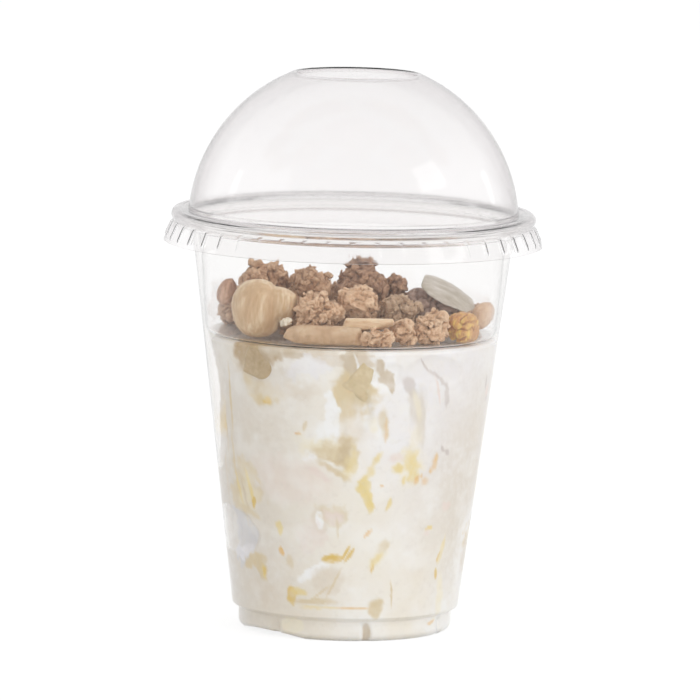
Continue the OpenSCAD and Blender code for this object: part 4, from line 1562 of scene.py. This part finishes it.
@dataclass
class Toppings:
    """All that lies in the tray."""

    tray: Tray
    finishes: dict[str, FoodFinish]
    clusters: int = 23
    dark: tuple[int, ...] = (3, 22, 23)
    grey: tuple[int, ...] = (6,)
    pale: tuple[int, ...] = (4, 5, 7, 8, 9)
    small: tuple[int, ...] = (7, 8, 22, 23)
    flakes: int = 26
    small_flakes: int = 13
    flake_sizes: Point = (0.45, 1.0)
    flake_depths: Point = (0.76, 0.92)
    flake_tilt: float = 0.8
    small_share: float = 0.7
    core_share: float = 0.8
    wall_room: float = 2.2
    crook: float = 1.8
    ragged: float = 0.22
    cell: float = 0.3
    joined_rounds: int = 40
    smooth_rounds: int = 16
    rough_rounds: int = 5
    shoulder_size: tuple[float, float, float] = (1.05, 0.95, 1.0)
    shoulder_in: float = 1.8
    shoulder_up: float = 0.9
    crumb_at: tuple[float, float, float] = (-17.4, -31.6, 5.9)

    def pieces(self) -> list[Topping]:
        """Every topping with its finish."""
        singles = [
            Topping(
                "blanched_nut",
                Kind.NUT,
                "pale_nut",
                (0.1, 0.1, 1.0),
                joined="blanched_half",
                stretch=(1.03, 1.0, 1.0),
                shift=(0.9, 0.0, 0.0),
            ),
            Topping(
                "tan_nut",
                Kind.NUT,
                "pale_nut",
                (0.1, 0.1, 1.0),
                "tan_nut",
                stretch=(1.0, 1.0, 0.88),
                shift=(-0.2, 0.0, 0.8),
            ),
            Topping(
                "brown_almond",
                Kind.ALMOND,
                "brown_almond",
                stretch=(1.05, 1.0, 0.78),
                shift=(0.3, 0.0, 1.6),
            ),
            Topping(
                "biscuit_chip",
                Kind.CHIP,
                "biscuit",
                (1.0, 0.0, 0.1),
                stretch=(1.24, 1.0, 1.0),
                shift=(1.8, 0.0, 0.0),
                trim=(2.5, 0.6),
            ),
            Topping(
                "coconut_strip",
                Kind.STRIP,
                "coconut",
                (1.0, 0.0, 0.0),
                stretch=(1.5, 0.9, 0.9),
                shift=(0.2, 0.0, 0.0),
                trim=(1.4, 1.2),
            ),
            Topping("golden_raisin", Kind.RAISIN, "golden_raisin", (0.2, 0.0, 1.0)),
            Topping("dark_raisin", Kind.RAISIN, "dark_fruit", (1.0, 0.2, -0.4)),
            Topping("cranberry", Kind.RAISIN, "dark_fruit", (0.5, 0.6, 0.1)),
            Topping(
                "pumpkin_seed",
                Kind.SEED,
                "pumpkin_seed",
                (0.9, 0.0, -0.45),
                stretch=(1.18, 1.1, 1.2),
                shift=(-0.4, 0.0, 0.4),
                trim=(0.8, 0.0),
            ),
        ]
        looks = {number: "dark_oats" for number in self.dark}
        looks.update({number: "grey_oats" for number in self.grey})
        looks.update({number: "pale_oats" for number in self.pale})
        return singles + [
            Topping(
                f"granola_{n}",
                Kind.CLUSTER,
                "granola",
                (0.4, 0.3, 1.0),
                looks.get(n, ""),
                stretch=WIDER_CLUSTERS.get(n, (1.0, 1.0, 1.0)),
            )
            for n in range(1, self.clusters + 1)
        ]

    def flake(self, name: str, size: tuple[float, float, float], cup: float) -> bpy.types.Object:
        """Models one kind of oat flake or crumb.

        Args:
            name: the new object's name.
            size: half its length, width and thickness in millimetres.
            cup: how much it curls up toward its ends.

        Returns:
            The flake, round the origin.
        """
        lay_aside()
        bpy.ops.mesh.primitive_ico_sphere_add(subdivisions=2, radius=MM)
        piece = bpy.context.object
        piece.name = name
        open_mesh(piece)
        bpy.ops.transform.resize(value=size)
        lay_aside()
        places = corners(piece) / MM
        places += self.ragged * drifts(places, 1.3, size)
        places[:, 2] += cup * places[:, 0] ** 2
        put_corners(piece, places * MM)
        return piece

    def cluster(
        self, topping: Topping, flakes: Sequence[bpy.types.Object], seed: int
    ) -> bpy.types.Object:
        """Models one oat cluster: its CAD form with flakes and crumbs stuck all over it.

        Args:
            topping: the cluster.
            flakes: the flakes that are copied.
            seed: the start of its own series of chances.

        Returns:
            The closed skin over the cluster.
        """
        chance = random.Random(seed)
        core = self.core(topping, "oats")
        places = corners(core)
        middle = Vector(places.mean(axis=0))
        faces = normals(core)
        open_mesh(core)
        bpy.ops.transform.resize(value=(self.core_share,) * 3, center_override=middle)
        lay_aside()
        parts = [core]
        little = int(topping.node.split("_")[1]) in self.small
        for _ in range(self.small_flakes if little else self.flakes):
            pick = chance.randrange(len(places))
            size = chance.uniform(*self.flake_sizes) * (self.small_share if little else 1.0)
            way = Vector(faces[pick]).normalized()
            tilt = Quaternion(
                Vector([chance.uniform(-1, 1) for _ in range(3)]),
                chance.uniform(0, self.flake_tilt),
            )
            turn = tilt @ way.to_track_quat("Z", "Y") @ Quaternion((0, 0, 1), chance.uniform(0, 6))
            depth = chance.uniform(*self.flake_depths)
            at = middle + (Vector(places[pick]) - middle) * depth
            kind = chance.choice(flakes)
            if at.xy.length > (self.tray.inside_r(at.z / MM) - self.wall_room) * MM:
                continue
            part = bpy.data.objects.new("oat_part", kind.data.copy())
            bpy.context.scene.collection.objects.link(part)
            part.matrix_world = Matrix.LocRotScale(at, turn, Vector((size, size, size)))
            parts.append(part)
        bpy.context.view_layer.update()
        take_up(*parts)
        bpy.ops.object.join()
        remesh(core, self.cell)
        apply_modifier(core, "SMOOTH", factor=0.5, iterations=2)
        return core

    def roughen(self, piece: bpy.types.Object, kind: Kind, seed: int) -> None:
        """Moves a topping's skin by the relief that its kind has."""
        places = corners(piece)
        facing = normals(piece)
        start = Vector((seed * 3.1, seed * 1.7, seed * 0.9))
        moved = []
        for place, way in zip(places, facing):
            at = Vector(place) / MM
            if kind is Kind.CLUSTER:
                crest = ridge(at * 0.24 + start, 0.2)
                edge = ridge(at * 0.6 - start, 0.22)
                crease = ridge(at * 0.36 + 2 * start, 0.13)
                rise = 0.8 * crest**1.5 + 0.36 * edge - 0.9 * crease
                rise += 0.3 * noise.noise(at * 1.2 + start) + 0.14 * noise.noise(at * 2.8 + start)
            elif kind is Kind.RAISIN:
                fold = ridge(at * 0.4 + start, 0.2)
                rise = 0.3 - 0.9 * fold + 0.16 * noise.noise(at * 1.3 + start)
            else:
                height, scale = SOFT_RELIEF[kind]
                rise = height * noise.noise(at * scale + start)
            moved.append(place + way * rise * MM)
        put_corners(piece, self.tray.keep_inside(np.array(moved)))

    def core(self, topping: Topping, ending: str) -> bpy.types.Object:
        """A copy of a topping's CAD form, at the size and place that it has in the picture."""
        piece = node_copy(topping.node, f"{topping.node}_{ending}")
        middle = Vector(corners(piece).mean(axis=0))
        open_mesh(piece)
        bpy.ops.transform.resize(value=topping.stretch, center_override=middle)
        bpy.ops.transform.translate(value=Vector(topping.shift) * MM)
        lay_aside()
        ends = corners(piece)[:, 0].min(), corners(piece)[:, 0].max()
        for way, end, length in zip((-1, 1), ends, topping.trim):
            if length:
                open_mesh(piece)
                bpy.ops.mesh.bisect(
                    plane_co=(end - way * length * MM, middle.y, middle.z),
                    plane_no=(way, 0, 0.4),
                    use_fill=True,
                    clear_outer=True,
                )
                lay_aside()
        if topping.kind is Kind.CLUSTER:
            places = corners(piece)
            put_corners(piece, places + self.crook * drifts(places / MM, 0.15) * MM)
        return piece

    def whole(self, topping: Topping) -> bpy.types.Object:
        """Models a nut, seed or piece of fruit from its CAD form, with what has grown onto it."""
        piece = self.core(topping, "whole")
        if topping.joined:
            other = node_copy(topping.joined, "shoulder")
            middle = Vector(corners(other).mean(axis=0))
            toward = (Vector(corners(piece).mean(axis=0)) - middle).normalized()
            open_mesh(other)
            move = toward * self.shoulder_in + Vector((0, 0, self.shoulder_up))
            bpy.ops.transform.resize(value=self.shoulder_size, center_override=middle)
            bpy.ops.transform.translate(value=move * MM)
            lay_aside()
            take_up(piece, other)
            bpy.ops.object.join()
        remesh(piece, self.cell)
        rounds = self.rough_rounds
        if topping.joined or topping.kind is Kind.SEED:
            rounds = self.joined_rounds
        elif topping.kind in (Kind.NUT, Kind.ALMOND):
            rounds = self.smooth_rounds
        apply_modifier(piece, "SMOOTH", factor=0.5, iterations=rounds)
        return piece

    def crumb(self) -> bpy.types.Object:
        """Models the small white crumb that lies on the biscuit by the big nut."""
        piece = self.flake("white_crumb", (1.3, 1.0, 0.9), 0.0)
        open_mesh(piece)
        bpy.ops.mesh.subdivide(number_cuts=2, smoothness=1.0)
        place = Vector(self.crumb_at) + Vector((0, 0, self.tray.floor))
        bpy.ops.transform.translate(value=place * MM)
        lay_aside()
        self.roughen(piece, Kind.CLUSTER, 5)
        note_own(piece, Vector((1, 0, 0)))
        note_hollows(piece, 0.3)
        return piece

    def build(self) -> list[bpy.types.Object]:
        """Models every topping."""
        materials = {name: f.material() for name, f in self.finishes.items()}
        flakes = [self.flake(*kind) for kind in FLAKES]
        made = []
        for number, topping in enumerate(self.pieces()):
            if topping.kind is Kind.CLUSTER:
                piece = self.cluster(topping, flakes, 100 + number)
            else:
                piece = self.whole(topping)
            self.roughen(piece, topping.kind, number + 1)
            note_own(piece, Vector(topping.grain), number)
            note_hollows(piece, 0.3)
            look = materials[topping.look or topping.slot]
            made.append(dress(piece, "tray", topping.nodes, look))
        made.append(dress(self.crumb(), "tray", material=materials["crumb"]))
        for flake in flakes:
            bpy.data.objects.remove(flake)
        return made


# The studio


@dataclass(frozen=True)
class Lamp:
    """A soft box: its place and size in metres and its power in watts.

    One that is mirrored shows in the plastic and lights nothing else.
    """

    name: str
    place: tuple[float, float, float]
    width: float
    height: float
    power: float
    mirrored: bool = False


LAMPS = (
    Lamp("key", (1.1, -0.9, 1.0), 1.2, 1.2, 8),
    Lamp("fill", (-1.2, -0.9, 0.7), 1.2, 1.2, 1.2),
    Lamp("back", (0.2, 1.2, 1.0), 1.1, 1.1, 3),
    Lamp("front", (0.0, -1.7, 0.3), 0.9, 0.5, 1.6),
    Lamp("window", (1.33, -0.67, 1.08), 0.62, 0.5, 2.6, True),
    Lamp("left_window", (-1.7, 0.25, 0.65), 0.16, 0.4, 0.4, True),
    Lamp("right_window", (1.58, 0.77, 0.5), 0.16, 0.42, 0.4, True),
)


@dataclass
class Studio:
    """The table, the light and the camera that stands where the photograph was taken from."""

    distance: float = 2.234
    height: float = 0.357
    aim: tuple[float, float, float] = (-0.00015, 0.0, 0.075)
    roll: float = 1.3
    lens: float = 430.1
    sensor: float = 36.0
    clip: Point = (0.1, 50.0)
    ceiling: Point = (0.3, 0.8)
    bounces: int = 32
    table_size: float = 12.0
    table_glow: float = 0.84
    table_shade: float = 0.22
    sky: float = 0.74
    lit_height: float = 0.07
    white: Colour = (1.0, 1.0, 1.0, 1.0)
    dim: Colour = (0.58, 0.56, 0.565, 1.0)
    lamps: tuple[Lamp, ...] = LAMPS

    def camera(self) -> None:
        """Sets up the camera."""
        data = bpy.data.cameras.new("view")
        data.lens = self.lens
        data.sensor_width = self.sensor
        data.clip_start, data.clip_end = self.clip
        camera = bpy.data.objects.new("view", data)
        bpy.context.scene.collection.objects.link(camera)
        place = Vector((0.0, -self.distance, self.height))
        look = (Vector(self.aim) - place).to_track_quat("-Z", "Y")
        tilt = Quaternion((0, 0, 1), math.radians(self.roll))
        camera.rotation_mode = "QUATERNION"
        camera.location = place
        camera.rotation_quaternion = look @ tilt
        bpy.context.scene.camera = camera

    def lamp(self, lamp: Lamp) -> None:
        """Sets up one lamp that points at the cup."""
        data = bpy.data.lights.new(lamp.name, "AREA")
        data.shape = "RECTANGLE"
        data.size = lamp.width
        data.size_y = lamp.height
        data.energy = lamp.power
        made = bpy.data.objects.new(lamp.name, data)
        bpy.context.scene.collection.objects.link(made)
        made.location = lamp.place
        way = Vector((0, 0, self.lit_height)) - Vector(lamp.place)
        made.rotation_mode = "QUATERNION"
        made.rotation_quaternion = way.to_track_quat("-Z", "Y")
        made.visible_glossy = lamp.mirrored
        made.visible_diffuse = not lamp.mirrored
        made.visible_transmission = False

    def world(self) -> None:
        """Makes the surroundings white to the eye, and a soft light to the object."""
        world = bpy.data.worlds.new("room")
        bpy.context.scene.world = world
        recipe = Recipe(world)
        way = recipe.node("TexCoord", output="Generated")
        up = recipe.node("SeparateXYZ", inputs={"Vector": way}, output="Z")
        ceiling = recipe.tinted(self.white, self.dim, up.ramped(*self.ceiling))
        soft = recipe.node("Background", inputs={"Color": self.white, "Strength": self.sky})
        mirrored = recipe.node("Background", inputs={"Color": ceiling, "Strength": 1.0})
        plain = recipe.node("Background", inputs={"Color": self.white, "Strength": 1.0})
        clear = recipe.seen_by("Glossy", "Transmission")
        first = recipe.node("MixShader", inputs={0: clear, 1: soft, 2: mirrored})
        both = recipe.node("MixShader", inputs={0: recipe.seen_by("Camera"), 1: first, 2: plain})
        recipe.surface(both, "OutputWorld")

    def table(self) -> None:
        """Lays the white table, which keeps a faint shadow."""
        lay_aside()
        bpy.ops.mesh.primitive_plane_add(size=self.table_size)
        top = bpy.context.object
        top.name = "table"
        recipe = Recipe("table_white")
        seen = recipe.seen_by("Camera", "Glossy", "Transmission")
        plain = recipe.node("BsdfDiffuse", inputs={"Color": (0.8, 0.8, 0.8, 1)})
        glow = recipe.node("Emission", inputs={"Color": self.white, "Strength": self.table_glow})
        grey = (self.table_shade,) * 3 + (1.0,)
        shade = recipe.node("BsdfDiffuse", inputs={"Color": grey})
        bright = recipe.node("AddShader", inputs={0: glow, 1: shade})
        mix = recipe.node("MixShader", inputs={0: seen, 1: plain, 2: bright})
        top.data.materials.append(recipe.surface(mix))
        lay_aside()

    def build(self) -> None:
        """Sets up the whole studio."""
        scene = bpy.context.scene
        scene.view_settings.view_transform = "Standard"
        scene.cycles.max_bounces = self.bounces
        scene.cycles.transmission_bounces = self.bounces
        scene.cycles.transparent_max_bounces = self.bounces
        self.camera()
        self.world()
        self.table()
        for lamp in self.lamps:
            self.lamp(lamp)
        log.info("studio ready")


def oats(name: str, dark: Shade, middle: Shade, light: Shade) -> FoodFinish:
    """The finish of toasted oats in three tones, with painted shade in its hollows and a painted
    highlight on its ridges.
    """
    return FoodFinish(
        name,
        dark,
        middle,
        light,
        # painted shade in the hollows: two thirds of the dark tone
        hollow=tuple(0.66 * share for share in dark),
        patch=2.2,
        bump=0.3,
        coat=0.06,
        hollow_shade_share=0.65,
        ridge_highlight_share=0.35,
    )


def peach(name: str, dark: Shade, light: Shade) -> FoodFinish:
    """The finish of peach between two tones, with painted shade in its hollows."""
    return FoodFinish(
        name,
        dark,
        middle=tuple((a + b) / 2 for a, b in zip(dark, light)),
        light=light,
        # painted shade in the hollows, in the dark tone
        hollow=dark,
        patch=3,
        roughness=0.35,
        scatter=0.3,
        bump=0.06,
    )


# Each finish's hollow tone is painted shade in the piece's hollows, and a ridge share paints a
# highlight on its crests
FOOD_FINISHES = {
    "granola": oats("toasted_oats", (156, 114, 82), (191, 150, 117), (222, 187, 153)),
    "dark_oats": oats("dark_oats", (126, 92, 70), (168, 130, 104), (206, 166, 134)),
    "grey_oats": oats("grey_oats", (150, 118, 92), (186, 154, 124), (214, 186, 156)),
    "pale_oats": oats("pale_oats", (182, 137, 100), (218, 177, 140), (244, 213, 180)),
    "pale_nut": FoodFinish(
        "blanched_nut",
        dark=(200, 164, 124),
        middle=(214, 182, 142),
        light=(234, 212, 180),
        hollow=(180, 140, 100),
        patch=2.6,
        grain=(0.16, 1, 1),
        bump=0.05,
        roughness=0.42,
        scatter=0.2,
    ),
    "tan_nut": FoodFinish(
        "tan_nut_skin",
        dark=(184, 138, 100),
        middle=(208, 166, 128),
        light=(226, 192, 156),
        hollow=(160, 114, 78),
        grain=(0.3, 1, 1),
        bump=0.08,
        roughness=0.45,
    ),
    "crumb": FoodFinish(
        "white_crumb",
        dark=(214, 196, 168),
        middle=(230, 216, 192),
        light=(242, 234, 218),
        hollow=(190, 164, 130),
        patch=0.8,
        bump=0.08,
    ),
    "brown_almond": FoodFinish(
        "almond_skin",
        dark=(156, 108, 78),
        middle=(190, 142, 108),
        light=(220, 178, 146),
        hollow=(130, 88, 62),
        patch=1.4,
        grain=(0.2, 1, 1),
        bump=0.14,
        roughness=0.5,
    ),
    "biscuit": FoodFinish(
        "biscuit_crumb",
        dark=(190, 154, 118),
        middle=(208, 175, 140),
        light=(220, 193, 160),
        hollow=(174, 136, 100),
        patch=5,
        bump=0.05,
        roughness=0.55,
        scatter=0.15,
    ),
    "coconut": FoodFinish(
        "coconut_fibre",
        dark=(212, 172, 130),
        middle=(230, 200, 164),
        light=(242, 222, 192),
        hollow=(176, 140, 100),
        patch=1.4,
        grain=(0.12, 1, 1),
        bump=0.08,
        roughness=0.5,
        scatter=0.2,
    ),
    "golden_raisin": FoodFinish(
        "golden_raisin_skin",
        dark=(178, 118, 78),
        middle=(214, 158, 100),
        light=(238, 204, 108),
        hollow=(150, 92, 50),
        patch=1.5,
        grain=(0.22, 1, 1),
        bump=0.12,
        roughness=0.4,
        coat=0.15,
        scatter=0.15,
        ridge_highlight_share=0.3,
    ),
    "dark_fruit": FoodFinish(
        "dark_fruit_skin",
        dark=(116, 88, 76),
        middle=(156, 128, 114),
        light=(188, 162, 146),
        hollow=(84, 60, 50),
        patch=3.4,
        grain=(0.5, 1, 1),
        bump=0.1,
        roughness=0.5,
        coat=0.05,
    ),
    "pumpkin_seed": FoodFinish(
        "seed_skin",
        dark=(182, 171, 154),
        middle=(200, 191, 178),
        light=(218, 210, 202),
        hollow=(154, 144, 118),
        patch=3,
        grain=(0.3, 1, 1),
        bump=0.03,
        roughness=0.42,
    ),
}

# The finish of the peach, as 0, and of the pieces that lie deep in the cream
PEACH_FINISHES = {
    0: peach("peach_flesh", (222, 192, 118), (242, 222, 168)),
    1: peach("olive_peach", (178, 152, 112), (200, 178, 142)),
    2: peach("pale_peach", (208, 187, 146), (224, 207, 172)),
}

# The second colour of each sheet is its edge-on tint: partly the longer path through the plastic,
# partly painted shade toward its outline
CUP_SHEET = ClearSheet("clear_cup", paint(253, 252.5, 252), paint(230, 228, 226), aslant=0.7)
TRAY_SHEET = ClearSheet(
    "clear_tray", paint(253, 253, 253), paint(236, 235, 234), aslant=0.7, index=1.12
)
LID_SHEET = ClearSheet(
    "clear_lid", paint(251.4, 250.4, 250.4), paint(214, 208, 209), aslant=0.44, roughness=0.075
)


def main() -> None:
    """Builds the studio and every part of the cup in order."""
    logging.basicConfig(level=logging.INFO, format="%(name)s: %(message)s")
    noise.seed_set(NOISE_SEED)  # or Blender's noise starts from the clock
    Studio().build()
    cup = Cup(CUP_SHEET)
    tray = Tray(TRAY_SHEET)
    cup.build()
    tray.build()
    DomeLid(LID_SHEET).build()
    Cream(cup, CreamFinish("soft_cream")).build()
    Peach(PEACH_FINISHES).build()
    Toppings(tray, FOOD_FINISHES).build()
    bpy.context.view_layer.update()
    log.info("all pieces ready")


if __name__ == "__main__":
    main()
